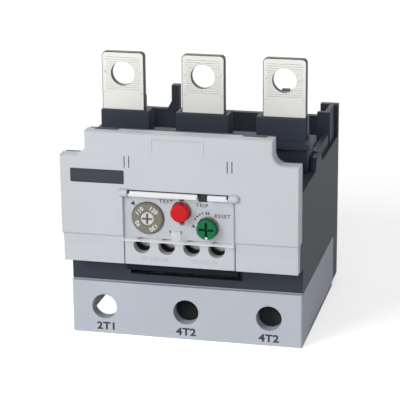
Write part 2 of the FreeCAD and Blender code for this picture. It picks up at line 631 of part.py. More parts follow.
def make_load_bolts():
    """Hexagon bolts that clamp the cable lugs, their heads towards the open base."""
    body = body_named("load_bolts")
    seat = "terminal_low - washer_thick"
    for pole in POLES:
        x = pole_x(pole)
        pad(body, "plan", f"{seat} - bolt_head * 0.66", seat, hexagon(x, "bolt_depth", "bolt_head"))
        pad(body, "plan", seat, "case_low - roof - 0.1", disc(x, "bolt_depth", "bolt_radius"))
    return body


def make_load_washers():
    body = body_named("load_washers")
    for pole in POLES:
        x = pole_x(pole)
        pad(body, "plan", "terminal_low - washer_thick", "terminal_low",
            disc(x, "bolt_depth", "washer_radius"), disc(x, "bolt_depth", "bolt_radius + 0.2"))
    return body


def make_load_nuts():
    """Square nuts held in the roof of the base."""
    body = body_named("load_nuts")
    for pole in POLES:
        x = pole_x(pole)
        pad(body, "plan", "terminal_low + terminal_thick", "case_low - roof",
            box(f"{x} - bolt_head", f"{x} + bolt_head", "bolt_depth - bolt_head", "bolt_depth + bolt_head"),
            disc(x, "bolt_depth", "bolt_radius + 0.05"))
    return body


# ---- auxiliary circuit -------------------------------------------------------------------------

def contact_middle(pair):
    """X between the two terminals of a pair: 0 is normally open, 1 is normally closed."""
    return f"(aux_middle + {-1 if pair == 0 else 1} * aux_pitch)"


def tail_span(place):
    """Left and right edges of the strip that runs back from a terminal to its contact."""
    x, middle = aux_x(place), contact_middle(place // 2)
    if place == 0:
        return f"{x} - 2.5", f"{middle} - leaf_thick / 2 - contact_gap - rivet_high"
    if place == 1:
        return f"{middle} - leaf_thick / 2 + rivet_high", f"{x} + 2.5"
    if place == 2:
        return f"{x} - 2.5", f"{middle} + leaf_thick / 2 - rivet_high"
    return f"{middle} + leaf_thick / 2 + rivet_high", f"{x} + 2.5"


def make_aux_terminal_plates():
    """Four brass plates in the wells; two of their tails turn up and carry a fixed contact."""
    body = body_named("aux_terminal_plates")
    for place in range(4):
        x = aux_x(place)
        pad(body, "front", "well_back - tail_thick", "well_back",
            box(f"{x} - well_half + 0.4", f"{x} + well_half - 0.4", "block_low + 3", "well_high"))
        cut(body, "front", "well_back - tail_thick", "well_back", disc(x, "aux_level", "aux_thread + 0.05"))
        left, right = tail_span(place)
        pad(body, "plan", "well_high - tail_thick", "well_high",
            box(left, right, "well_back", "tail_end"))
    first, second = tail_span(1)[0], tail_span(2)[1]
    for left, right in ((first, f"{first} + tail_thick"), (f"{second} - tail_thick", second)):
        pad(body, "plan", "well_high - tail_thick", "rivet_z + rivet_radius + 1.3",
            box(left, right, "leaf_front", "tail_end"))
    rivet = disc("(leaf_front + tail_end) / 2", "rivet_z", "rivet_radius")
    pad(body, "side", f"{first} - rivet_high", first, rivet)
    pad(body, "side", second, f"{second} + rivet_high", rivet)
    return body


def make_contact_leaf(label, left, rivet_start, rivet_end):
    """A springy strip that stands on a terminal's tail and carries a rivet."""
    body = body_named(label)
    pad(body, "plan", "well_high + gap", "leaf_high",
        box(left, f"{left} + leaf_thick", "leaf_front", "tail_end"))
    pad(body, "side", rivet_start, rivet_end, disc("(leaf_front + tail_end) / 2", "rivet_z", "rivet_radius"))
    return body


def leaf_left(pair):
    """Left face of the moving leaf of a pair."""
    return f"({tail_span(0)[1]} - leaf_thick)" if pair == 0 else f"({tail_span(3)[0]})"


def make_leaves():
    open_face = tail_span(0)[1]
    closed_face = tail_span(3)[0]
    return [make_contact_leaf("no_contact_leaf", leaf_left(0), open_face, f"{open_face} + rivet_high"),
            make_contact_leaf("nc_contact_leaf", leaf_left(1), f"{closed_face} - rivet_high", closed_face)]


def make_aux_screws():
    """Pan-head screws with a cross recess, one in each well."""
    body = body_named("aux_screws")
    seat = "well_front + clamp_thick + aux_head_thick"
    for place in range(4):
        lathe(body, aux_x(place), "aux_level", (f"{seat} - aux_head_thick - 0.4", "aux_head - 0.5"),
              (f"{seat} - aux_head_thick", "aux_head"), (seat, "aux_head"), (seat, "aux_thread"),
              ("well_back + 3.5", "aux_thread"))
    for place in range(4):
        cross_slot(body, aux_x(place), "aux_level", "well_front", "1.6", "aux_head - 0.8", "slot_half")
    return body


def make_aux_clamps():
    """Square washers that the screws press on the wires."""
    body = body_named("aux_clamps")
    seat = "well_front + clamp_thick + aux_head_thick"
    for place in range(4):
        x = aux_x(place)
        pad(body, "front", seat, f"{seat} + clamp_thick",
            box(f"{x} - clamp_half", f"{x} + clamp_half", "aux_level - clamp_half",
                "aux_level + clamp_half"), disc(x, "aux_level", "aux_thread + 0.15"))
    return body


# ---- controls ----------------------------------------------------------------------------------

def cross_slot(body, x, z, front, deep, reach, half):
    """Two crossed slots for a screwdriver."""
    for across, up in ((reach, half), (half, reach)):
        cut(body, "front", front, f"{front} + {deep}",
            box(f"{x} - ({across})", f"{x} + ({across})", f"{z} - ({up})", f"{z} + ({up})"))


def make_setting_dial():
    """A scale ring with a bevelled rim, pressed on the hub of the shaft."""
    body = body_named("setting_dial")
    lathe(body, "dial_x", "dial_z", ("dial_front", "dial_radius - 0.6"), ("dial_front + 0.7", "dial_radius"),
          ("dial_back", "dial_radius"))
    cut(body, "front", "dial_front", "dial_back", disc("dial_x", "dial_z", "hub_radius + press_gap"))
    return body


def make_dial_shaft():
    """The slotted hub, the stem through the block and the seat of the cam behind it."""
    body = body_named("dial_shaft")
    lathe(body, "dial_x", "dial_z", ("dial_front", "hub_radius - hub_bevel"),
          ("dial_front + hub_bevel", "hub_radius"), ("dial_back", "hub_radius"),
          ("dial_back", "stem_radius"), ("block_rear + gap", "stem_radius"),
          ("block_rear + gap", "cam_seat"), ("block_rear + gap + cam_thick", "cam_seat"))
    cross_slot(body, "dial_x", "dial_z", "dial_front", "1.1", "hub_radius - 0.55", "slot_half")
    return body


def make_dial_cam():
    """A snail cam: quarter arcs whose centres step round a small square, so the reach grows."""
    growth, radius = number("cam_growth"), number("cam_radius")
    centre = FreeCAD.Vector(number("dial_x") - growth / 2, 0, number("dial_z") + growth / 2)
    turns = (0, math.pi / 2, math.pi, -math.pi / 2)
    steps = [FreeCAD.Vector(math.cos(turn), 0, math.sin(turn)) for turn in turns]
    edges, first = [], centre + steps[0] * radius
    for quarter in range(4):
        reach = radius + growth * quarter
        here, ahead = steps[quarter], steps[(quarter + 1) % 4]
        middle = centre + (here + ahead).normalize() * reach
        end = centre + ahead * reach
        edges.append(Part.Arc(centre + here * reach, middle, end).toShape())
        centre = centre - ahead * growth
    edges.append(Part.makeLine(end, first))
    face = Part.Face(Part.Wire(Part.__sortEdges__(edges)))
    thick = number("cam_thick")
    cam = face.extrude(FreeCAD.Vector(0, thick, 0))
    axis = FreeCAD.Vector(number("dial_x"), 0, number("dial_z"))
    cam = cam.cut(Part.makeCylinder(number("cam_seat"), thick, axis, FreeCAD.Vector(0, 1, 0)))
    feature = doc.addObject("Part::Feature", "body_dial_cam")
    feature.Label = "dial_cam"
    feature.Shape = cam
    feature.setExpression("Placement.Base.y", bound(depth("block_rear + gap")))
    return feature


def stem_profile():
    """The flange that keeps a button in and the stem behind it, as depths and radii."""
    flange, back = "panel_deep + gap", "panel_deep + gap + flange_thick"
    return ((flange, "flange_radius"), (back, "flange_radius"), (back, "stem_radius"),
            ("stem_end", "stem_radius"))


def make_test_button():
    """A round button with a bevelled edge, its flange and its stem in one piece."""
    body = body_named("test_button")
    lathe(body, "test_x", "test_z", ("-button_reach", "test_radius - 0.5"),
          ("-button_reach + 0.5", "test_radius"), ("panel_deep + gap", "test_radius"), *stem_profile())
    return body


def make_reset_stem():
    """The plunger that the green knob turns on."""
    body = body_named("reset_stem")
    lathe(body, "reset_x", "reset_z", ("0.5", "knob_seat"), ("panel_deep + gap", "knob_seat"),
          *stem_profile())
    return body


def make_reset_knob():
    """The knob on the plunger, slotted for a screwdriver so that it can be set to hand or automatic."""
    body = body_named("reset_knob")
    lathe(body, "reset_x", "reset_z", ("-reset_reach", "reset_radius - 0.4"),
          ("-reset_reach + 0.4", "reset_radius"), ("panel_deep", "reset_radius"))
    cut(body, "front", "0.3", "panel_deep", disc("reset_x", "reset_z", "knob_fit"))
    cross_slot(body, "reset_x", "reset_z", "-reset_reach", "1.4", "reset_radius - 1.1", "slot_half + 0.1")
    return body


def make_spring(label, x, z):
    """A compression spring behind a flange, its axis from front to back."""
    wire, radius = number("spring_wire"), number("(stem_radius + flange_radius) / 2 + 0.1")
    start = number(depth("panel_deep + gap + flange_thick")) + wire
    height = number(depth("spring_seat")) - wire - start
    turns, sides = 3, 5
    helix = Part.makeHelix(height / turns, height, radius)
    around = [2 * math.pi * i / sides for i in range(sides)]
    section = [FreeCAD.Vector(radius + wire * math.cos(turn), 0, wire * math.sin(turn)) for turn in around]
    profile = Part.makePolygon(section + section[:1])
    coil = Part.Wire(helix.Edges).makePipeShell([profile], True, True)
    feature = doc.addObject("Part::Feature", "body_" + label)
    feature.Label = label
    feature.Shape = coil
    turn = FreeCAD.Rotation(FreeCAD.Vector(1, 0, 0), -90)
    feature.Placement = FreeCAD.Placement(FreeCAD.Vector(number(x), start, number(z)), turn)
    return feature


def make_trip_indicator():
    """The dark flag with three grooves on its face, its stop plate and its tail through the block."""
    body = body_named("trip_indicator")
    foot = "flag_low - flag_drop"
    pad(body, "side", *flag_span("0"),
        polygon(("flag_front", "flag_low"), ("panel_deep + guide_gap", "flag_low"),
                ("panel_deep + guide_gap", foot), ("flag_plate", foot), ("flag_plate", "flag_high"),
                ("flag_front", "flag_high")))
    pad(body, "front", "flag_plate", "block_rear + 2",
        box("flag_x - flag_tail", "flag_x + flag_tail", foot, f"{foot} + 2"))
    for rib in (-1, 0, 1):
        groove = f"flag_x + {rib} * rib_pitch"
        cut(body, "front", "flag_front", "flag_front + gap",
            box(f"{groove} - 0.18", f"{groove} + 0.18", "flag_low - 1", "flag_high + 1"))
    return body


def make_window_cover():
    """A clear tray on two pivots, with holes that the two buttons stand through."""
    body = body_named("window_cover")
    half, back = "window_width / 2", "panel_recess - gap"
    inside = "window_front + window_wall"
    pane = [(half, "window_low"), (half, "window_top"), ("hinge_width / 2", "window_top"),
            ("hinge_width / 2", "hinge_z")]
    pad(body, "front", "window_front", inside, polygon(*mirrored(pane)))
    pad(body, "side", f"-{half}", half, box("window_front", back, "window_low", "window_low + lip_thick"))
    for side in SIDES:
        pad(body, "side", *sided(side, f"{half} - window_wall", half),
            box("window_front", back, "window_low", "window_top"))
    pad(body, "side", "-hinge_width / 2", "hinge_width / 2", disc("hinge_depth", "hinge_z", "hinge_radius"))
    pivot = "hinge_width / 2 + boss_wide / 2"
    pad(body, "side", f"-({pivot})", pivot, disc("hinge_depth", "hinge_z", "pivot_radius"))
    cut(body, "side", *flag_span("slot_half"), box("-3", "2", "flag_low - 0.5", "hinge_z + 2"))
    cut(body, "front", "window_front", inside, disc("test_x", "test_z", "test_radius + test_clear"))
    cut(body, "front", "window_front", inside, disc("reset_x", "reset_z", "reset_radius + reset_clear"))
    pad(body, "front", "window_front - latch_proud", "window_front",
        box("latch_left", "latch_right", "window_low + 1", "window_low + 1 + latch_high"))
    return body


# ---- tripping mechanism ------------------------------------------------------------------------

def make_slider(label, low, before, behind):
    """A plate across the three poles with a window round each bimetal."""
    body = body_named(label)
    pad(body, "plan", low, f"{low} + slider_thick",
        box("-pole_pitch - slider_left", "pole_pitch + slider_right", "heater_front - 1.5",
            "heater_back + 1.5"))
    for pole in POLES:
        x = pole_x(pole)
        cut(body, "plan", low, f"{low} + slider_thick",
            box(f"{x} - bimetal_thick / 2 - {before}", f"{x} + bimetal_thick / 2 + {behind}",
                "heater_front + 0.5", "heater_back - 0.5"))
    return body


def make_sliders():
    """The trip slider, pushed by whichever strip bends most, and the one that the least bent holds."""
    high = "slider_low + slider_thick"
    trip = make_slider("trip_slider", "slider_low", "gap", "slack")
    pad(trip, "plan", "slider_low", high,
        box("lever_x + 1.5 + gap", "lever_x + 4.8", "lever_depth + rear_arm - 2", "heater_front"))
    return [trip, make_slider("differential_slider", f"{high} + slider_gap", "slack", "gap")]


def make_trip_lever():
    """A two-armed lever on a pin: the slider pushes its rear arm, its front arm moves the carrier."""
    body = body_named("trip_lever")
    high = "lever_low + lever_thick"
    pad(body, "plan", "shelf_high + gap", "shelf_high + 4.4", disc("lever_x", "lever_depth", "3.2"))
    pad(body, "plan", "lever_low", high,
        box("lever_x - 0.8", "lever_x + 0.8", "lever_depth - front_arm", "lever_depth"))
    pad(body, "plan", "lever_low", high, disc("lever_x", "lever_depth - front_arm", "1.2"))
    pad(body, "plan", "lever_low", high,
        box("lever_x - 1", "lever_x + 1", "lever_depth", "lever_depth + rear_arm"))
    pad(body, "plan", "lever_low", high, disc("lever_x", "lever_depth + rear_arm", "1.5"))
    cut(body, "plan", "shelf_high", "shelf_high + 5",
        disc("lever_x", "lever_depth", "pin_radius + press_gap"))
    return body


def make_pin(label, x, up):
    """A pin pressed into its shelf, on which a lever swings."""
    body = body_named(label)
    pad(body, "plan", "shelf_high - shelf_thick", "shelf_high + 5.4", disc(x, up, "pin_radius"))
    return body


def make_contact_carrier():
    """A bar across the contacts, with a window round each leaf and one round the lever's front arm."""
    body = body_named("contact_carrier")
    high = "carrier_low + carrier_thick"
    pad(body, "plan", "carrier_low", high, box(f"{leaf_left(0)} - carrier_left", "lever_x + carrier_right",
                                               "leaf_front - 1.2", "tail_end + 1.2"))
    for pair in (0, 1):
        left = leaf_left(pair)
        cut(body, "plan", "carrier_low", high, box(f"{left} - hole_gap", f"{left} + leaf_thick + hole_gap",
                                                   "leaf_front - 0.4", "tail_end + 0.4"))
    cut(body, "plan", "carrier_low", high,
        box("lever_x - 1.5", "lever_x + 1.5", "lever_depth - front_arm - 1.5", "tail_end + 2"))
    return body


def make_compensator():
    """The lever that the cam sets, and the bimetal strip it carries towards the sliders."""
    body = body_named("compensator_lever")
    low, high, top = "shelf_high + gap", "shelf_high + gap + comp_thick", "shelf_high + 5.2"
    nose_x, nose_depth = "(dial_x - 4.7)", "(block_rear + 1.4)"
    pad(body, "plan", low, "shelf_high + 4.4", disc("comp_x", "comp_depth", "pin_radius + 1.4"))
    pad(body, "plan", low, high,
        polygon(("comp_x - 0.9", "comp_depth"), (f"{nose_x} - 0.9", f"{nose_depth} - 0.5"),
                (f"{nose_x} + 0.7", f"{nose_depth} + 0.2"), ("comp_x + 0.9", "comp_depth")))
    pad(body, "plan", low, high, disc(nose_x, nose_depth, "1.2"))
    pad(body, "plan", low, top, box("comp_x - 1", "comp_x", "comp_depth + 2", "comp_depth + 8"))
    pad(body, "plan", low, high, box("comp_x - 1", "comp_x + 1", "comp_depth", "comp_depth + 3.5"))
    cut(body, "plan", "shelf_high", "shelf_high + 6", disc("comp_x", "comp_depth", "pin_radius + press_gap"))
    strip = body_named("compensator_strip")
    pad(strip, "plan", "shelf_high + 2.2", top,
        box("comp_x", "comp_x + strip_thick", "comp_depth + 4", "heater_front - 2.5"))
    return [body, strip]


def make_case_screws():
    """Two screws from behind that hold the base to the rear leg of the case."""
    body = body_named("case_screws")
    seat = "leg_front + wall"
    for side in SIDES:
        lathe(body, f"{side} * screw_place", "screw_z", ("shroud_back - 8", "screw_radius"),
              (seat, "screw_radius"), (seat, "screw_head"), (f"{seat} + 2", "screw_head"),
              (f"{seat} + 2.6", "screw_head - 0.6"))
    return body


# ---- build, test and write ---------------------------------------------------------------------

def make_all():
    parts = [make_main_case(), make_tab_shroud(), make_front_cover(), make_control_panel(),
             make_terminal_shroud(), make_contact_block()]
    for pole in POLES:
        parts += [make_line_tab(pole), make_heater(pole), make_bimetal(pole), make_load_bar(pole)]
    parts += [make_load_bolts(), make_load_washers(), make_load_nuts(), make_aux_terminal_plates(),
              make_aux_screws(), make_aux_clamps(), *make_leaves(), make_setting_dial(), make_dial_shaft(),
              make_dial_cam(), make_test_button(), make_spring("test_spring", "test_x", "test_z"),
              make_reset_stem(), make_spring("reset_spring", "reset_x", "reset_z"), make_reset_knob(),
              make_trip_indicator(), make_window_cover(), *make_sliders(), make_trip_lever(),
              make_pin("lever_pin", "lever_x", "lever_depth"), make_contact_carrier(),
              *make_compensator(), make_pin("compensator_pin", "comp_x", "comp_depth"),
              make_case_screws()]
    return parts


def check(parts):
    """Every object computed, every cut removes something, and every piece is a sound solid."""
    for item in doc.Objects:
        if "Invalid" in item.State or "Error" in item.State:
            raise ValueError(f"{item.Label} ({item.Name}) is not computed: {item.State}")
        if item.TypeId in ("PartDesign::Pocket", "PartDesign::Groove"):
            if item.BaseFeature.Shape.Volume - item.Shape.Volume < 1e-3:
                raise ValueError(f"{item.Name} cuts nothing")
    for part in parts:
        if part.Shape.isNull() or not part.Shape.isValid() or not part.Shape.Solids:
            raise ValueError(f"{part.Label} is not a sound solid")


parts = make_all()
doc.recompute()
check(parts)
os.makedirs("parts", exist_ok=True)
for part in parts:
    part.Shape.exportStep(f"parts/{part.Label}.step")
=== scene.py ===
# %% [markdown]
# # A thermal overload relay, dressed from a CAD frame
# A thermal overload relay sits under a motor contactor and trips when a motor draws too much
# current. This one has a pale snap-on cover, a dark housing, a pale cable base and three tall
# tinned tabs. The CAD model already gives every part its shape, so this lesson adds what CAD
# leaves out: finishes, printed legends, pressed serrations, light and a camera. Pieces take their
# places from the CAD model, so that they follow it if a size changes.

# %% Load the frame
import json
import math

import bmesh
import bpy
from mathutils import Matrix, Vector


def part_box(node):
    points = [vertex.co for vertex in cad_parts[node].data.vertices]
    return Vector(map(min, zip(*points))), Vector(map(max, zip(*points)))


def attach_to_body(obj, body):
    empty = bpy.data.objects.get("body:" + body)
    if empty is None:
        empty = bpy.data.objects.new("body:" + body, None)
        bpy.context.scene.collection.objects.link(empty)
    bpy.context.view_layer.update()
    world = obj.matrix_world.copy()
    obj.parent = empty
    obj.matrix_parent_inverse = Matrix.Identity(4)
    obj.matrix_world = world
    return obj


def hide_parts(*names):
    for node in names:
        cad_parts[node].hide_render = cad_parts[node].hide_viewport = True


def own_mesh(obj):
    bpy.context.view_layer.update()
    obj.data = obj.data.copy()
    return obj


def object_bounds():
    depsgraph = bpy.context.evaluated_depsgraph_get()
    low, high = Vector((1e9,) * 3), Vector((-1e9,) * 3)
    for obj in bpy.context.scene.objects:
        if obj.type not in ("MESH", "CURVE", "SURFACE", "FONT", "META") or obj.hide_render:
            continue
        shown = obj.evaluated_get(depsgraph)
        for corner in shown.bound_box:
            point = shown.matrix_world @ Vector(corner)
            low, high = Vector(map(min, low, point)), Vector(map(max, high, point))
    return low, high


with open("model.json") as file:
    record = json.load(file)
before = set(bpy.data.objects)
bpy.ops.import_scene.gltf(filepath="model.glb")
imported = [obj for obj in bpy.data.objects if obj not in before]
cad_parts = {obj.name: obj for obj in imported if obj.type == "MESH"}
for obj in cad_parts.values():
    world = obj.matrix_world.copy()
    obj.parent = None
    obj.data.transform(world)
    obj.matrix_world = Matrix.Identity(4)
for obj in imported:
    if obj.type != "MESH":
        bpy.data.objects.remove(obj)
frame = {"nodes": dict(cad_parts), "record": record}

MM = 0.001
nodes, record = frame["nodes"], frame["record"]
joints = {joint["name"]: joint for joint in record["behaviour"]["joints"]}
mounts = {mount["name"]: mount for mount in record["mounts"]}
cad_box = [list(corner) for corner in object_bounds()]

# %% [markdown]
# ## The camera
# A product picture of a small device is taken from well back with a long lens, which keeps the
# verticals nearly parallel. The camera is set first, because every later choice of size and
# contrast is judged through it. Its place is written as a distance and two angles round a point
# inside the relay, which is easier to change by hand than a matrix.

# %% Place the camera
AIM = Vector((1.466, -17.4, 52.435)) * MM
DISTANCE = 0.68781
AZIMUTH, ELEVATION, ROLL = (math.radians(angle) for angle in (13.486, 17.039, -0.548))
LENS, SENSOR = 153.7, 36.0


def camera_axes(azimuth, elevation, roll):
    """Right, up and backward directions of a camera that looks at the aim point."""
    back = Vector((math.sin(azimuth) * math.cos(elevation),
                   -math.cos(azimuth) * math.cos(elevation), math.sin(elevation)))
    level = Vector((math.cos(azimuth), math.sin(azimuth), 0))
    upright = back.cross(level)
    right = level * math.cos(roll) + upright * math.sin(roll)
    return right, back.cross(right), back


camera = bpy.data.objects.new("camera", bpy.data.cameras.new("camera"))
camera.data.lens, camera.data.sensor_width = LENS, SENSOR
axes = camera_axes(AZIMUTH, ELEVATION, ROLL)
turned = Matrix(axes).transposed().to_4x4()
camera.matrix_world = Matrix.Translation(AIM + axes[2] * DISTANCE) @ turned
bpy.context.scene.collection.objects.link(camera)
bpy.context.scene.camera = camera
print("camera at", [round(value, 4) for value in camera.matrix_world.translation])

# %% [markdown]
# ## Shader maths as Python
# A material is a graph of nodes. Built by hand it's a tangle of links, so two small classes make
# it read as sums. `Signal` is a value that leaves a node: `0.4 + 0.1 * grain` adds the Math nodes
# that work it out. `Finish` is a material in the making, and its one method `node` makes any
# node: it takes the node's type, its settings and then what goes into its sockets.

# %% Signals and finishes
class Signal:
    """A value that leaves a node, with Python's operators as Math nodes."""

    def __init__(self, finish, socket):
        self.finish = finish
        self.socket = socket

    def math(self, operation, *values):
        settings = {"operation": operation}
        return self.finish.node("ShaderNodeMath", settings, dict(enumerate(values)))

    def __add__(self, other):
        return self.math("ADD", self, other)

    def __sub__(self, other):
        return self.math("SUBTRACT", self, other)

    def __rsub__(self, other):
        return self.math("SUBTRACT", other, self)

    def __mul__(self, other):
        return self.math("MULTIPLY", self, other)

    def __gt__(self, other):
        return self.math("GREATER_THAN", self, other)

    def __lt__(self, other):
        return self.math("LESS_THAN", self, other)

    def __abs__(self):
        return self.math("ABSOLUTE", self)

    __radd__ = __add__
    __rmul__ = __mul__


class Finish:
    """A material, or the world round the object, while it's being made."""

    def __init__(self, name, owner=None):
        self.owner = owner or bpy.data.materials.new(name)
        self.owner.use_nodes = True
        self.tree = self.owner.node_tree
        self.tree.nodes.clear()

    def node(self, kind, settings, inputs, output=0):
        """Adds a node: settings come first, then what its sockets take."""
        made = self.tree.nodes.new(kind)
        for name, value in settings.items():
            if name == "stops":
                self.set_stops(made.color_ramp, value)
            else:
                setattr(made, name, value)
        for name, value in inputs.items():
            if isinstance(value, Signal):
                self.tree.links.new(made.inputs[name], value.socket)
            else:
                made.inputs[name].default_value = value
        return Signal(self, made.outputs[output]) if made.outputs else None

    def set_stops(self, ramp, stops):
        while len(ramp.elements) < len(stops):
            ramp.elements.new(1.0)
        for element, (place, shade) in zip(ramp.elements, stops):
            element.position, element.color = place, shade

    def close(self, shader, kind="Material"):
        self.node("ShaderNodeOutput" + kind, {}, {"Surface": shader})
        return self.owner


def srgb(red, green, blue):
    """A colour as a paint chart gives it, 0 to 255, turned into the light it sends back."""
    def light(value):
        value /= 255
        return value / 12.92 if value <= 0.04045 else ((value + 0.055) / 1.055) ** 2.4
    return (light(red), light(green), light(blue), 1.0)


print("shader maths ready")

# %% [markdown]
# ## What every surface shares
# Moulded plastic is never one flat colour: pigment drifts a little, and a fine spark-eroded grain
# scatters the light. Metal has drawing lines instead. Both need a place on the surface, and Object
# coordinates give it in metres, fixed to the part wherever it moves. Mixing two colours goes
# through a Mix node, because a Math node would turn them grey.

# %% Helpers for places, noise and colours
def place_on(finish):
    return finish.node("ShaderNodeTexCoord", {}, {}, "Object")


def stretched(finish, place, x, y, z):
    return finish.node("ShaderNodeVectorMath", {"operation": "MULTIPLY"}, {0: place, 1: (x, y, z)})


def noise(finish, place, scale, detail=2.0, rough=0.5):
    settings = {"noise_dimensions": "3D"}
    sockets = {"Vector": place, "Scale": scale, "Detail": detail, "Roughness": rough}
    return finish.node("ShaderNodeTexNoise", settings, sockets)


def between(finish, share, first, second):
    """A colour part of the way from the first to the second."""
    settings = {"data_type": "RGBA", "clamp_factor": True}
    return finish.node("ShaderNodeMix", settings, {0: share, 6: first, 7: second}, 2)


def greatest(*signals):
    """The largest of several signals."""
    top = signals[0]
    for other in signals[1:]:
        top = top.math("MAXIMUM", top, other)
    return top


def shaded(colour, factor):
    """A colour made darker by a factor under 1, or lighter by one over 1."""
    return tuple(min(1.0, channel * factor) for channel in colour[:3]) + (1.0,)


def softened(finish, radius):
    """The surface direction with sharp edges rounded off, as a mould leaves them."""
    return finish.node("ShaderNodeBevel", {"samples": 4}, {"Radius": radius})


def edge_share(finish, soft):
    """0 on a flat face, and more where the softened direction leaves the true one."""
    true = finish.node("ShaderNodeNewGeometry", {}, {}, "True Normal")
    settings = {"operation": "DOT_PRODUCT"}
    return 1.0 - finish.node("ShaderNodeVectorMath", settings, {0: soft, 1: true}, "Value")


def distance_of(finish, vector):
    return finish.node("ShaderNodeVectorMath", {"operation": "LENGTH"}, {0: vector}, "Value")


def along_axis(finish, vector, axis):
    """One coordinate of a vector: X, Y or Z."""
    return finish.node("ShaderNodeSeparateXYZ", {}, {0: vector}, axis)


def bumped(finish, height, strength, distance, under):
    sockets = {"Height": height, "Strength": strength, "Distance": distance, "Normal": under}
    return finish.node("ShaderNodeBump", {}, sockets)


print("helpers ready")

# %% [markdown]
# ## Moulded plastics
# The cover, panel and base are pale ABS with a fine matt grain, and the housing is a dark
# glass-filled nylon that is a little coarser. One function makes them all: a slow drift of tone, a
# fine grain that lifts the roughness and the bump, edges lightened as a painted highlight, and
# painted shade deep in slots. The edge share comes from comparing the true surface direction with
# the softened one.

# %% Moulded plastic
CLOUD_SCALE, SPECKLE_SCALE = 45.0, 3200.0
EDGE_HIGHLIGHT_GAIN = 2.2
SLOT_SHADE = 0.26


def moulded(name, colour, rough, grain=0.35, drift=0.05, edge_highlight=1.12, radius=0.35 * MM,
            gloss=0.5, painted_shade_from=None):
    """A moulded finish.

    gloss is how much the skin mirrors, the edges are lightened as a painted highlight, and slots
    deeper than the given depth get painted shade.
    """
    finish = Finish(name)
    place = place_on(finish)
    cloud = noise(finish, place, CLOUD_SCALE, 3.0)
    speckle = noise(finish, place, SPECKLE_SCALE, 2.0, 0.6)
    soft = softened(finish, radius)
    # Painted highlight: the edges are lightened by the given factor.
    edges = edge_share(finish, soft) * EDGE_HIGHLIGHT_GAIN
    tone = between(finish, cloud, shaded(colour, 1 - drift), shaded(colour, 1 + drift))
    tone = between(finish, edges, tone, shaded(colour, edge_highlight))
    # Painted shade: deeper than the given depth the colour turns dark.
    if painted_shade_from is not None:
        in_slot_shade = along_axis(finish, place, "Y") > painted_shade_from
        tone = between(finish, in_slot_shade, tone, shaded(colour, SLOT_SHADE))
    shader = finish.node("ShaderNodeBsdfPrincipled", {}, {
        "Base Color": tone,
        "Roughness": (rough - 0.06) + 0.12 * speckle,
        "IOR": 1.5,
        "Specular IOR Level": gloss,
        "Normal": bumped(finish, speckle, grain, 0.04 * MM, soft)})
    return finish.close(shader)


# Deeper than these depths the knob's cross slot and the hub's slot get painted shade.
SLOT_FROM = 0.4 * MM
knob_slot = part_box("reset_knob")[0].y + SLOT_FROM
hub_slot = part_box("dial_shaft")[0].y + SLOT_FROM
plastics = {
    "light_cover": moulded("cover_abs", srgb(195, 198, 203), 0.5),
    "light_panel": moulded("panel_abs", srgb(196, 199, 204), 0.48),
    "light_base": moulded("base_abs", srgb(187, 192, 202), 0.55, gloss=0.15),
    "dark_housing": moulded("housing_nylon", srgb(58, 63, 73), 0.55, grain=0.5, drift=0.12,
                            edge_highlight=1.5, gloss=0.1),
    "black_moulding": moulded("block_nylon", srgb(20, 23, 29), 0.55, grain=0.5, drift=0.12,
                              edge_highlight=1.4, gloss=0.12),
    "white_nylon": moulded("inner_nylon", srgb(214, 214, 210), 0.42, grain=0.2,
                           painted_shade_from=hub_slot),
    "red_plastic": moulded("test_red", srgb(198, 24, 26), 0.38, grain=0.12, drift=0.04,
                           edge_highlight=1.2, radius=0.3 * MM, gloss=0.2),
    "green_plastic": moulded("reset_green", srgb(2, 108, 62), 0.4, grain=0.12, drift=0.05,
                             edge_highlight=1.3, radius=0.25 * MM, gloss=0.2, painted_shade_from=knob_slot),
    "flag_plastic": moulded("flag_black", srgb(44, 46, 54), 0.5, grain=0.3, drift=0.1,
                            edge_highlight=1.6, radius=0.15 * MM, gloss=0.35),
}
print(f"{len(plastics)} plastics")

# %% [markdown]
# ## The setting dial
# The dial is turned with a screwdriver, so its face wears in rings. Rings about the dial's own
# axis are easy: the distance from that axis, taken with a Vector Math length, drives a sine. The
# axis place comes from the dial's own box.

# %% Dial finish
RING_PHASE = 18000.0  # radians of the sine for each metre of reach: a ring every 0.35 mm


def dial_finish(name, colour, middle):
    finish = Finish(name)
    place = place_on(finish)
    offset = finish.node("ShaderNodeVectorMath", {"operation": "SUBTRACT"}, {0: place, 1: middle})
    phase = distance_of(finish, stretched(finish, offset, 1, 0, 1)) * RING_PHASE
    rings = phase.math("SINE", phase) * 0.5 + 0.5
    cloud = noise(finish, place, 220.0, 3.0)
    soft = softened(finish, 0.3 * MM)
    shader = finish.node("ShaderNodeBsdfPrincipled", {}, {
        "Base Color": between(finish, cloud, shaded(colour, 0.9), shaded(colour, 1.1)),
        "Roughness": 0.46 + 0.1 * rings,
        "IOR": 1.5,
        "Specular IOR Level": 0.2,
        "Normal": bumped(finish, rings, 0.12, 0.03 * MM, soft)})
    return finish.close(shader)


dial_low, dial_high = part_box("setting_dial")
dial_middle = (dial_low + dial_high) / 2
plastics["taupe_dial"] = dial_finish("dial_taupe", srgb(128, 123, 109), tuple(dial_middle))
print("dial axis at x, z", [round(value / MM, 2) for value in (dial_middle.x, dial_middle.z)], "mm")

# %% [markdown]
# ## Metals
# The tabs are copper with a satin tin plate, so they look like pale steel with a warm cast and
# fine lines from rolling. Screws are zinc plated, strips are brass, heaters are a dull alloy.
# All of them are metallic, with lines drawn out along one direction by squeezing the coordinates,
# and blotches that vary the roughness as handling does. The tabs are punched from sheet, and their
# cut edges, their tops and the walls of their holes are painted darker than the faces: painted
# shade. The softened surface direction says where the face turns into an edge.

# %% Metal
FACED, CUT_SHADE_GAIN = 0.93, 5.0


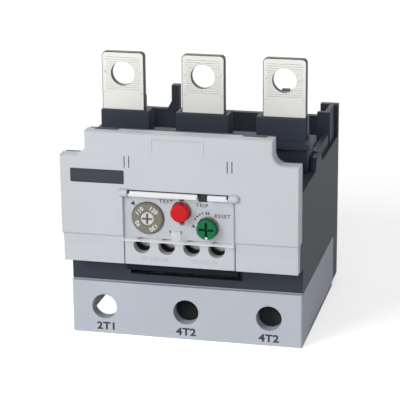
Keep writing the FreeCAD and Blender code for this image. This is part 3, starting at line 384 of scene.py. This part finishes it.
def metal(name, colour, rough, along=(1, 1, 1), lines=0.1, blotch=0.12, bare=1.0, cut_shade=None):
    """A metal finish.

    bare is under 1 where a plated skin scatters some light like a matt one, and the colour given
    last is painted on faces that don't look to the front, as painted shade.
    """
    finish = Finish(name)
    place = place_on(finish)
    drawn = noise(finish, stretched(finish, place, *along), 900.0, 4.0, 0.6)
    cloud = noise(finish, place, 120.0, 3.0)
    tone = between(finish, cloud, shaded(colour, 1 - blotch), shaded(colour, 1 + blotch / 2))
    soft = softened(finish, 0.25 * MM)
    # Painted shade: faces that don't look to the front take the darker colour.
    if cut_shade:
        faced = abs(along_axis(finish, softened(finish, 0.5 * MM), "Y"))
        tone = between(finish, (FACED - faced) * CUT_SHADE_GAIN, tone, cut_shade)
    shader = finish.node("ShaderNodeBsdfPrincipled", {}, {
        "Base Color": tone,
        "Metallic": bare,
        "Roughness": (rough - 0.05) + 0.1 * cloud + 0.06 * drawn,
        "Normal": bumped(finish, drawn, lines, 0.02 * MM, soft)})
    return finish.close(shader)


metals = {
    "tinned_copper": metal("tin_plate", srgb(233, 233, 228), 0.5, (6, 6, 0.25), lines=0.12,
                           blotch=0.05, bare=0.2, cut_shade=srgb(70, 67, 62)),
    "steel_fastener": metal("zinc_plate", srgb(228, 228, 224), 0.28, bare=0.5),
    "spring_steel": metal("spring_wire", srgb(160, 160, 163), 0.32),
    "brass": metal("brass_strip", srgb(204, 180, 136), 0.34, (1, 1, 0.2)),
    "heater_alloy": metal("heater_strip", srgb(150, 146, 140), 0.42, (1, 1, 0.3)),
    "bimetal": metal("bimetal_strip", srgb(172, 166, 158), 0.38, (1, 1, 0.2)),
}
pressed_tin = metal("pressed_tin", srgb(233, 233, 228), 0.5, lines=0.1, blotch=0.05, bare=0.2)
print(f"{len(metals)} metals")

# %% [markdown]
# ## The clear window
# The flip-up window is a thin polycarbonate tray. Real glass shaders bend and darken what lies
# behind a thin pane, so this one is a Transparent shader that gives way to a glossy white one as
# the view gets flatter, by Fresnel. On the rod, the side walls, the lip, the thumb grip and every
# sharp edge a larger white share is mixed in: a painted highlight for the light that clear plastic
# gathers there.

# %% Window finish
ROD_HIGHLIGHT, LIP_HIGHLIGHT, THUMB_HIGHLIGHT, WALL_HIGHLIGHT, SHARP_EDGE_HIGHLIGHT, SHEEN = 0.85, 0.6, 0.3, 0.06, 1.6, 0.3
THUMB_LEFT, THUMB_RIGHT = -2.1 * MM, 1.4 * MM


def window_finish(name, rod_z, lip_z, wall_x, thumb_y):
    """Clear, with painted highlights on the rod, lip, thumb grip, side walls and sharp edges."""
    finish = Finish(name)
    place = place_on(finish)
    x, y, z = (along_axis(finish, place, axis) for axis in "XYZ")
    rod, lip, wall = z > rod_z, z < lip_z, abs(x) > wall_x
    thumb = (y < thumb_y) * (x > THUMB_LEFT) * (x < THUMB_RIGHT)
    edges = edge_share(finish, softened(finish, 0.22 * MM))
    # Painted highlight: an opaque white share on the rod, lip, thumb grip, walls and edges.
    glow = greatest(rod * ROD_HIGHLIGHT, lip * LIP_HIGHLIGHT, thumb * THUMB_HIGHLIGHT, wall * WALL_HIGHLIGHT,
                    edges * SHARP_EDGE_HIGHLIGHT)
    scratches = noise(finish, place, 600.0, 3.0)
    gloss = finish.node("ShaderNodeFresnel", {}, {"IOR": 1.45})
    clear = finish.node("ShaderNodeBsdfTransparent", {}, {"Color": (0.995, 0.998, 1.0, 1.0)})
    body = finish.node("ShaderNodeBsdfPrincipled", {}, {
        "Base Color": srgb(243, 245, 248),
        "Roughness": 0.08 + 0.1 * scratches,
        "IOR": 1.5})
    share = glow.math("MINIMUM", gloss * SHEEN + glow, 1.0)
    return finish.close(finish.node("ShaderNodeMixShader", {}, {0: share, 1: clear, 2: body}))


window_low, window_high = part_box("window_cover")
clear_window = window_finish("clear_polycarbonate", rod_z=window_high.z - 1.8 * MM,
                             lip_z=window_low.z + 0.5 * MM, wall_x=window_high.x - 0.8 * MM,
                             thumb_y=window_low.y + 0.3 * MM)
print("window", [round(value / MM, 1) for value in window_high - window_low], "mm")

# %% [markdown]
# ## Give every CAD node its finish
# The record names a material slot for every node, so one loop can dress them all: the slot name
# picks the finish. A CAD mesh is never changed. Only its material slot is assigned.

# %% Dress the CAD nodes
finishes = {**plastics, **metals, "clear_window": clear_window}
slots = {part["node"]: part["material_slot"] for part in record["subparts"]}
for name, node in nodes.items():
    node.data.materials.clear()
    node.data.materials.append(finishes[slots[name]])
print("dressed", len(nodes), "nodes with", len(set(slots.values())), "finishes")

# %% [markdown]
# ## Finding the surface
# Labels and legends sit on the CAD surface. Rather than copy depths from the CAD drawing, a ray is
# sent in from the front to find where the surface is, as a finger would.

# %% Feel for the surface
bpy.context.view_layer.update()


def front_of(node, x, z):
    """Y of the node's surface met from the front at a place given in metres."""
    hit, where, _, _ = nodes[node].ray_cast(Vector((x, -1, z)), Vector((0, 1, 0)))
    if not hit:
        raise ValueError(f"nothing of {node} at {x / MM:.1f}, {z / MM:.1f} mm")
    return where.y


def face_of(node, across, up):
    """Y of the node's front at a share of its width and of its height."""
    low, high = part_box(node)
    return front_of(node, low.x + across * (high.x - low.x), low.z + up * (high.z - low.z))


cover_low, cover_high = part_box("front_cover")
panel_low, panel_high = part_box("control_panel")
base_low, base_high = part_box("terminal_shroud")
cover_face = face_of("front_cover", 0.82, 0.5)
panel_face = face_of("control_panel", 0.05, 0.58)
base_face = face_of("terminal_shroud", 0.66, 0.49)
print("faces at", [round(y / MM, 2) for y in (cover_face, panel_face, base_face)], "mm")

# %% [markdown]
# ## New pieces
# Every added piece is built from a bmesh, given one finish, and tied to the CAD body it's printed
# or pressed on. One helper does that, so that no piece is left without a body or a slot. Three
# more make the shapes that come back: a slab, a rectangle with round corners, and a skin over a
# row of rings.

# %% Make and attach a piece
def attach(name, mesh, material, body):
    piece = bpy.data.objects.new(name, mesh)
    mesh.materials.clear()
    mesh.materials.append(material)
    bpy.context.scene.collection.objects.link(piece)
    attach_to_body(piece, body)
    return piece


def mesh_of(name, form):
    """A finished bmesh as mesh data, with its faces turned outwards."""
    bmesh.ops.recalc_face_normals(form, faces=form.faces)
    mesh = bpy.data.meshes.new(name)
    form.to_mesh(mesh)
    form.free()
    return mesh


def plate(form, outline, front, back, bevel=0.0):
    """A flat slab with that outline of (x, z) corners, between two depths."""
    near = [form.verts.new((x, front, z)) for x, z in outline]
    far = [form.verts.new((x, back, z)) for x, z in outline]
    face = form.faces.new(near)
    form.faces.new(far)
    for i in range(len(outline)):
        j = (i + 1) % len(outline)
        form.faces.new((near[i], near[j], far[j], far[i]))
    if bevel:
        bmesh.ops.bevel(form, geom=list(face.edges), offset=bevel, segments=2, affect="EDGES",
                        profile=0.6)


def rounded(left, right, low, high, radius, steps=5):
    """The corners of a rectangle whose corners are rounded."""
    corners = []
    for x, z, start in ((right - radius, high - radius, 0), (left + radius, high - radius, 90),
                        (left + radius, low + radius, 180), (right - radius, low + radius, 270)):
        for i in range(steps + 1):
            angle = math.radians(start + 90 * i / steps)
            corners.append((x + radius * math.cos(angle), z + radius * math.sin(angle)))
    return corners


def skin(form, rings):
    """A closed skin over a row of rings of corners, capped at both ends."""
    count = len(rings[0])
    for first, second in zip(rings, rings[1:]):
        for i in range(count):
            j = (i + 1) % count
            form.faces.new((first[i], first[j], second[j], second[i]))
    form.faces.new(rings[0])
    form.faces.new(rings[-1])


print("piece helpers ready")

# %% [markdown]
# ## The name plate
# A dark plate is stuck to the left of the cover. On the real thing it carries a maker's type
# number. Here it stays bare, as thin satin foil with rounded corners, and it's finished as
# carefully as the rest: a fine print grain and a lighter rim, a painted highlight along its edge.

# %% Name plate
foil = moulded("plate_foil", srgb(62, 65, 72), 0.42, grain=0.25, drift=0.06, edge_highlight=1.3,
               radius=0.1 * MM, gloss=0.15)
form = bmesh.new()
left, right = cover_low.x + 4.3 * MM, cover_low.x + 25.9 * MM
low, high = cover_high.z - 20.6 * MM, cover_high.z - 15.1 * MM
plate(form, rounded(left, right, low, high, 0.5 * MM), cover_face - 0.12 * MM,
      cover_face + 0.05 * MM, 0.04 * MM)
attach("name_plate", mesh_of("name_plate", form), foil, "housing")
print("name plate", round((right - left) / MM, 1), "mm wide")

# %% [markdown]
# ## The moulded frame line
# Near the top of the cover a fine line is raised on three sides of a rectangle, where some
# versions carry a label. It's a real ridge a tenth of a millimetre high, so that it catches light
# from any side, where a bump in the material would only shade.

# %% Frame line on the cover
form = bmesh.new()
ridge, frame_half = 0.12 * MM, 10.2 * MM
frame_low, frame_high = cover_high.z - 8 * MM, cover_high.z - 2.3 * MM
for left, right, low, high in (
        (-frame_half - ridge, -frame_half + ridge, frame_low, frame_high),
        (frame_half - ridge, frame_half + ridge, frame_low, frame_high),
        (-frame_half - ridge, frame_half + ridge, frame_high, frame_high + 2 * ridge)):
    plate(form, [(left, low), (right, low), (right, high), (left, high)],
          cover_face - 0.1 * MM, cover_face + 0.05 * MM, 0.05 * MM)
attach("cover_frame_line", mesh_of("cover_frame_line", form), finishes["light_cover"],
       "housing")
print("frame line", round(2 * frame_half / MM, 1), "mm wide")

# %% [markdown]
# ## Printed legends
# TEST, TRIP and RESET are pad-printed in grey ink and the terminal marks in a darker one.
# Blender's own font is close to the plain grotesque used on switchgear. Each word is a text curve
# given a hair's thickness and a slightly heavier stroke, then turned into a mesh, so that it's a
# closed skin of ink on the surface and not a floating sheet. A word's place is taken from the
# control or the hole that it belongs to.

# %% Ink and words
def ink(name, colour):
    # The ink's rims get a faint painted highlight.
    return moulded(name, colour, 0.55, grain=0.1, drift=0.06, edge_highlight=1.05, radius=0.02 * MM)


grey_ink = ink("grey_ink", srgb(54, 57, 63))
dark_ink = ink("dark_ink", srgb(38, 40, 45))
white_ink = ink("white_ink", srgb(236, 236, 232))
INK = 0.03 * MM


def word(name, text, size, x, z, face, material, body, turn=0.0, weight=0.03, wide=1.0,
         thick=INK, spread=1.0):
    """Text centred on a place of the front, with its face just proud of the surface."""
    curve = bpy.data.curves.new(name, "FONT")
    curve.body, curve.size = text, size
    curve.align_x, curve.align_y = "CENTER", "CENTER"
    curve.extrude, curve.offset = thick, weight * size
    curve.space_character = spread
    curve.resolution_u = 3
    holder = bpy.data.objects.new(name + "_curve", curve)
    bpy.context.scene.collection.objects.link(holder)
    bpy.context.view_layer.update()
    flat = holder.evaluated_get(bpy.context.evaluated_depsgraph_get())
    mesh = bpy.data.meshes.new_from_object(flat)
    bpy.data.objects.remove(holder)
    stand = Matrix.Rotation(math.radians(90), 4, "X") @ Matrix.Diagonal((wide, 1, 1, 1))
    spin = Matrix.Rotation(-turn, 4, "Y")
    mesh.transform(Matrix.Translation((x, face, z)) @ spin @ stand)
    attach(name, mesh, material, body)


test_low, test_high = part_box("test_button")
flag_low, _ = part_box("trip_indicator")
reset_low, reset_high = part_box("reset_knob")
for text, size, x, z, wide in (
        ("TEST", 2.1, test_low.x - 2.05 * MM, test_high.z - 0.85 * MM, 1.1),
        ("TRIP", 2.0, flag_low.x + 1.1 * MM, flag_low.z + 0.95 * MM, 1.1),
        ("RESET", 2.15, reset_high.x + 1.6 * MM, reset_high.z + 0.7 * MM, 0.98)):
    word(f"legend_{text.lower()}", text, size * MM, x, z, panel_face, grey_ink, "housing",
         weight=0.016, wide=wide, spread=1.16)
terminal_marks = (("mark_base_17", "cable_hole_1", 0.75, "2T1"),
                  ("mark_base_50", "cable_hole_2", 0.0, "4T2"),
                  ("mark_base_83", "cable_hole_3", 0.0, "4T2"))
for name, hole, aside, mark in terminal_marks:
    x = mounts[hole]["pos_m"][0] + aside * MM
    word(name, mark, 4.3 * MM, x, base_low.z + 2.95 * MM, base_face, dark_ink, "housing",
         weight=0.035, wide=1.14, spread=1.06)
print("printed", 3 + len(terminal_marks), "words")

# %% [markdown]
# ## The reset arc
# Round the green knob a broken arc runs from A for automatic to H for hand. Each dash is a small
# slab set along the arc.

# %% Arc of dashes with its two letters
reset_middle = (reset_low + reset_high) / 2
ARC_REACH, DASH_HALF, DASHES = 6.0 * MM, 0.3 * MM, 4
ARC_START, ARC_STEP, DASH_SPAN = (math.radians(angle) for angle in (153, 12.5, 7.5))


def spoke(angle, reach):
    """A place at that angle and reach from the reset knob's axis."""
    return reset_middle.x + reach * math.cos(angle), reset_middle.z + reach * math.sin(angle)


form = bmesh.new()
for step in range(DASHES):
    start = ARC_START - ARC_STEP * step
    end = start - DASH_SPAN
    near, far = ARC_REACH - DASH_HALF, ARC_REACH + DASH_HALF
    corners = [spoke(start, near), spoke(end, near), spoke(end, far), spoke(start, far)]
    plate(form, corners, panel_face - INK, panel_face + INK)
attach("reset_arc", mesh_of("reset_arc", form), grey_ink, "housing")
for name, letter, x, z in (
        ("mark_auto", "A", reset_low.x - 1.9 * MM, reset_middle.z + 0.05 * MM),
        ("mark_hand", "H", reset_middle.x - 0.25 * MM, reset_high.z + 1.55 * MM)):
    word(name, letter, 1.9 * MM, x, z, panel_face, grey_ink, "housing",
         weight=0.04, wide=1.15)
print("arc radius", round(ARC_REACH / MM, 1), "mm")

# %% [markdown]
# ## Notches beside the thumb grip
# The window's thumb grip closes between two narrow openings in the panel. Their shade is painted as
# two thin dark slabs on the panel face, either side of the grip.

# %% Notches
form = bmesh.new()
NOTCH_HALF = 0.28 * MM
low, high = window_low.z + 3.4 * MM, window_low.z + 4.6 * MM
# Painted shade of the two openings.
for x in (-3.6 * MM, 0.7 * MM):
    plate(form, rounded(x - NOTCH_HALF, x + NOTCH_HALF, low, high, 0.2 * MM),
          panel_face - INK, panel_face + INK)
attach("notch_shade", mesh_of("notch_shade", form), finishes["black_moulding"], "housing")
print("two notches")

# %% [markdown]
# ## The dial's numbers and pointer
# The dial is set in amperes against a small triangle printed on the panel. Four round values
# stand about a quarter turn apart, moulded proud in a pale colour, and they turn with the dial.

# %% Dial numbers
NUMBER_REACH = 4.25 * MM
dial_face = front_of("setting_dial", dial_middle.x + 4.5 * MM, dial_middle.z)
for angle, number in ((136, "110"), (55, "120"), (-54, "130"), (-152, "95")):
    toward = math.radians(angle)
    x = dial_middle.x + NUMBER_REACH * math.cos(toward)
    z = dial_middle.z + NUMBER_REACH * math.sin(toward)
    word(f"dial_{number}", number, 2.35 * MM, x, z, dial_face, white_ink, "dial",
         turn=toward - math.radians(90), weight=0.025, thick=0.05 * MM, spread=1.08)
form = bmesh.new()
outward, aside = Vector((-0.72, 0.69)), Vector((0.69, 0.72)) * MM
tip = Vector((dial_middle.x, dial_middle.z)) + outward * 6.9 * MM
back = tip + outward * 1.9 * MM
plate(form, [tuple(tip), tuple(back - aside), tuple(back + aside)],
      panel_face - INK, panel_face + INK)
attach("dial_pointer", mesh_of("dial_pointer", form), grey_ink, "housing")
print("dial face at", round(dial_face / MM, 2), "mm")

# %% [markdown]
# ## The knob's pointer
# The green knob has a short white mark at its rim that shows which way it's turned. It rides with
# the knob, a thin inlay on the face.

# %% Reset pointer
form = bmesh.new()
knob_face = front_of("reset_knob", reset_middle.x + 2.5 * MM, reset_middle.z + 2.2 * MM)
half = 0.42 * MM
low, high = reset_low.z + 0.25 * MM, reset_low.z + 1.15 * MM
plate(form, rounded(reset_middle.x - half, reset_middle.x + half, low, high, 0.15 * MM),
      knob_face - 0.06 * MM, knob_face + 0.3 * MM, 0.03 * MM)
attach("reset_pointer", mesh_of("reset_pointer", form), white_ink, "reset_head")
print("knob face at", round(knob_face / MM, 2), "mm")

# %% [markdown]
# ## Moulded terminal numbers
# Below the four screws the panel carries the contact numbers, raised in the plastic's own colour.
# They're hard to read on purpose: a mould-maker raises them only a tenth of a millimetre.

# %% Numbers under the screws
low_face = front_of("control_panel", 0.0, panel_low.z + 2.4 * MM)
for x, text in ((panel_low.x + 12.2 * MM, "97 NO 98"), (panel_high.x - 12.1 * MM, "95 NC 96")):
    word(f"moulded_{text[:2]}", text, 2.1 * MM, x, panel_low.z + 2.6 * MM, low_face,
         finishes["light_panel"], "housing", wide=1.2, thick=0.12 * MM)
print("terminal numbers at", round(low_face / MM, 2), "mm")

# %% [markdown]
# ## Small dark fittings
# Small dark pieces finish the front and the sides. At each end of the window's rod a narrow black
# ring that turns with the rod stands for the shade in the gap there: painted shade. A cheek stands
# against the right tab, where its tower is open at the side. A rib stiffens the rear post behind
# the left tab. The rings are turned about the rod's axis, and the other two are slabs with softened
# edges.

# %% Dark rings for the shade at the rod's ends
_, rod_y, rod_z = joints["window_hinge"]["pos_m"]
GAP_SHADE_REACH, GAP_SHADE_STEPS = 0.96 * MM, 24
GAP_SHADE_PROFILE = ((2.8, 0.9), (2.7, 1.0), (2.05, 1.0), (2.0, 0.5))  # mm from the end, share
# Painted shade: dark rings where the gap at each end of the rod lies in shade.
form = bmesh.new()
for side in (-1, 1):
    rings = []
    for inset, share in GAP_SHADE_PROFILE:
        x, ring = side * (window_high.x - inset * MM), []
        for step in range(GAP_SHADE_STEPS):
            turn = 2 * math.pi * step / GAP_SHADE_STEPS
            ring.append(form.verts.new((x, rod_y + GAP_SHADE_REACH * share * math.cos(turn),
                                        rod_z + GAP_SHADE_REACH * share * math.sin(turn))))
        rings.append(ring)
    skin(form, rings)
attach("rod_gap_shade", mesh_of("rod_gap_shade", form), finishes["black_moulding"], "window")
print("shoulders on the axis at y, z", [round(value / MM, 1) for value in (rod_y, rod_z)], "mm")

# %% Tower cheek and rear rib
def slab(name, left, right, front, back, low, high, radius, bevel):
    """A small upright slab of the housing, with round corners and a softened front."""
    form = bmesh.new()
    plate(form, rounded(left, right, low, high, radius, steps=2), front, back, bevel)
    attach(name, mesh_of(name, form), finishes["dark_housing"], "housing")


tab_low, tab_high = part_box("line_tab_3")
towers_low, towers_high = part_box("tab_shroud")
slab("tower_cheek", tab_high.x + 0.05 * MM, tab_high.x + 0.45 * MM, tab_low.y - 0.3 * MM,
     tab_low.y + 3.3 * MM, towers_low.z + 4.6 * MM, towers_high.z, 0.12 * MM, 0.05 * MM)
case_low, case_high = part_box("main_case")
slab("post_rib", case_low.x + 7.55 * MM, case_low.x + 8.55 * MM, case_high.y - 2.9 * MM,
     case_high.y - 0.1 * MM, case_high.z - 13.8 * MM, case_high.z - 8.2 * MM, 0.2 * MM, 0.1 * MM)
print("cheek up to", round(towers_high.z / MM, 1), "mm")

# %% [markdown]
# ## Button springs
# Behind the red button and the green knob sits a small compression spring. CAD gives it one
# length, but a real one shortens when its button goes in, so a coil of round wire stands for it
# here. Each ring of points is swept along a helix about the button's axis.

# %% Button springs
WIRE_RADIUS = 0.43 * MM
TURNS, WIRE_SIDES, COIL_STEPS = 3, 10, 72


def coil(node, joint_name):
    """A coil of round wire in the box of a CAD spring; gives its length and its travel."""
    low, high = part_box(node)
    middle, full = (low + high) / 2, high.y - low.y
    reach, rise = (high.x - low.x) / 2 - WIRE_RADIUS, full - 2 * WIRE_RADIUS
    upward = Vector((0, 1, 0))
    form, rings = bmesh.new(), []
    for step in range(COIL_STEPS + 1):
        angle = 2 * math.pi * TURNS * step / COIL_STEPS
        outward = Vector((math.cos(angle), 0, math.sin(angle)))
        y = low.y + WIRE_RADIUS + rise * step / COIL_STEPS
        centre, ring = Vector((middle.x, y, middle.z)) + reach * outward, []
        for side in range(WIRE_SIDES):
            turn = 2 * math.pi * side / WIRE_SIDES
            across = math.cos(turn) * outward + math.sin(turn) * upward
            ring.append(form.verts.new(centre + WIRE_RADIUS * across))
        rings.append(ring)
    skin(form, rings)
    piece = attach(node + "_coil", mesh_of(node + "_coil", form), finishes["spring_steel"],
                   "housing")
    travel = joints[joint_name]["range_m"][1]
    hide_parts(node)
    (full - travel) / full
    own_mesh(piece)
    return full, travel


for node, joint_name in (("test_spring", "test_press"), ("reset_spring", "reset_press")):
    length, travel = coil(node, joint_name)
    print(node, round(length / MM, 2), "mm long, shortens by", round(travel / MM, 2), "mm")

# %% [markdown]
# ## Serrations on the tabs
# Round the bolt hole each tab is pressed with fine level ridges, which bite into the washer. Each
# ridge is a small prism, broken where it meets the hole, and four punch marks stand at the
# corners. They're real geometry because the light rakes over them.

# %% Pressed ridges
RIDGES, RIDGE_PITCH, RIDGE_REACH = 15, 0.95 * MM, 7.2 * MM
RIDGE_HALF, RIDGE_RISE, RIDGE_LEAST = 0.17 * MM, 0.09 * MM, 1 * MM
HOLE_RIM = 0.35 * MM
PUNCH_ASIDE, PUNCH_REACH, PUNCH_HALF, PUNCH_RISE = 7.5 * MM, 0.4 * MM, 0.34 * MM, 0.16 * MM


def ridge_bar(form, left, right, z, half, rise, face):
    """A level ridge with a roof-shaped section, tapered at its ends."""
    base = [form.verts.new((x, face + 0.02 * MM, z + dz))
            for x in (left, right) for dz in (-half, half)]
    top = [form.verts.new((x, face - rise, z)) for x in (left + half, right - half)]
    for ring in ((base[0], base[1], base[3], base[2]), (base[0], base[2], top[1], top[0]),
                 (base[1], top[0], top[1], base[3]), (base[0], top[0], base[1]),
                 (base[2], base[3], top[1])):
        form.faces.new(ring)


for number in (1, 2, 3):
    name = f"line_tab_{number}"
    low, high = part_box(name)
    middle = (low.x + high.x) / 2
    hole = mounts[name + "_hole"]
    hole_z, hole_r = hole["pos_m"][2], hole["dims"]["r_mm"] * MM
    face = front_of(name, middle + 7 * MM, hole_z)
    form = bmesh.new()
    for step in range(RIDGES):
        z = hole_z + (step - (RIDGES - 1) / 2) * RIDGE_PITCH
        gap = math.sqrt(max(0.0, (hole_r + HOLE_RIM) ** 2 - (z - hole_z) ** 2))
        spans = [(-RIDGE_REACH, -gap), (gap, RIDGE_REACH)] if gap else [(-RIDGE_REACH, RIDGE_REACH)]
        for left, right in spans:
            if right - left > RIDGE_LEAST:
                ridge_bar(form, middle + left, middle + right, z, RIDGE_HALF, RIDGE_RISE, face)
    for side in (-1, 1):
        for z in (hole_z - 7.7 * MM, hole_z + 0.6 * MM):
            x = middle + side * PUNCH_ASIDE
            ridge_bar(form, x - PUNCH_REACH, x + PUNCH_REACH, z, PUNCH_HALF, PUNCH_RISE, face)
    attach(name + "_ridges", mesh_of(name + "_ridges", form), pressed_tin, "housing")
print("ridges", round(RIDGE_PITCH / MM, 2), "mm apart on three tabs")

# %% [markdown]
# ## The world
# White backgrounds are kept apart from the light that falls on the object: the world is white only
# to the camera, in reflections and through clear plastic, and gives a dim light to everything else.

# %% World
SKY_LIGHT = 0.25


def shown_plain(finish):
    """1 for what the camera sees, straight or in metal and glass, and 0 for other light."""
    return greatest(*(finish.node("ShaderNodeLightPath", {}, {}, f"Is {kind} Ray")
                      for kind in ("Camera", "Glossy", "Transmission")))


sky = Finish("studio", bpy.data.worlds.new("studio"))
glow = sky.node("ShaderNodeBackground", {}, {
    "Color": (1.0, 1.0, 1.0, 1.0),
    "Strength": SKY_LIGHT + (1 - SKY_LIGHT) * shown_plain(sky)})
bpy.context.scene.world = sky.close(glow, "World")
print("world lights the object at", SKY_LIGHT)

# %% [markdown]
# ## Lamps
# The light is even and soft: one large lamp from the front left, a weaker one straight ahead, and
# a low one that opens up the back.

# %% Lamps
def lamp(name, place, power, size):
    data = bpy.data.lights.new(name, "AREA")
    data.energy, data.shape, data.size = power, "DISK", size
    made = bpy.data.objects.new(name, data)
    made.location = place
    made.rotation_euler = (AIM - Vector(place)).to_track_quat("-Z", "Y").to_euler()
    bpy.context.scene.collection.objects.link(made)


lamp("key", (-0.6, -1.0, 0.66), 9.1, 0.6)
lamp("fill", (0.0, -1.7, 0.4), 6.4, 0.7)
lamp("back", (-0.35, 1.6, 0.3), 4.8, 0.9)
print("three lamps")

# %% [markdown]
# ## Floor
# The floor is pale and matt, and glows a little for the camera alone, more so far away, so that it
# runs into the white background but still holds the relay's shadow. Under the base it doesn't
# glow, so that the cable chambers stay dark, except under the first one, where it glows fully as
# painted light, so that that chamber's hole shows white.

# %% Floor
FLOOR_LIFT = 0.62
FAR_SLOPE, FAR_START, FLOOR_HALF = 1.5, 0.6, 3.0
CHAMBER_WALL = -16 * MM
floor_finish = Finish("studio_floor")
where = place_on(floor_finish)
across, along = (along_axis(floor_finish, where, axis) for axis in "XY")
under = (abs(across) < base_high.x) * (along > base_low.y) * (along < base_high.y)
# Painted light: under the first chamber the floor glows fully.
first_chamber_glow = under * (across < CHAMBER_WALL)
far = distance_of(floor_finish, where) * FAR_SLOPE - FAR_START
far = far.math("MINIMUM", far.math("MAXIMUM", far, 0.0), 1.0)
matt = floor_finish.node("ShaderNodeBsdfDiffuse", {}, {"Color": (0.86, 0.86, 0.86, 1.0)})
lift = floor_finish.node("ShaderNodeEmission", {}, {
    "Color": (1.0, 1.0, 1.0, 1.0),
    "Strength": ((1.0 - under) * (FLOOR_LIFT + (1 - FLOOR_LIFT) * far) + first_chamber_glow)
                * shown_plain(floor_finish)})
both = floor_finish.node("ShaderNodeAddShader", {}, {0: matt, 1: lift})
form = bmesh.new()
bmesh.ops.create_grid(form, x_segments=1, y_segments=1, size=FLOOR_HALF)
floor_mesh = bpy.data.meshes.new("floor")
form.to_mesh(floor_mesh)
form.free()
floor = bpy.data.objects.new("floor", floor_mesh)
floor_mesh.materials.append(floor_finish.close(both))
floor.location = (0, 0, cad_box[0][2] - 0.02 * MM)
bpy.context.scene.collection.objects.link(floor)
print("floor at", round(floor.location.z / MM, 2), "mm")

# %% [markdown]
# ## Finish
# The Standard view shows colours as they're written.

# %% View
bpy.context.scene.view_settings.view_transform = "Standard"
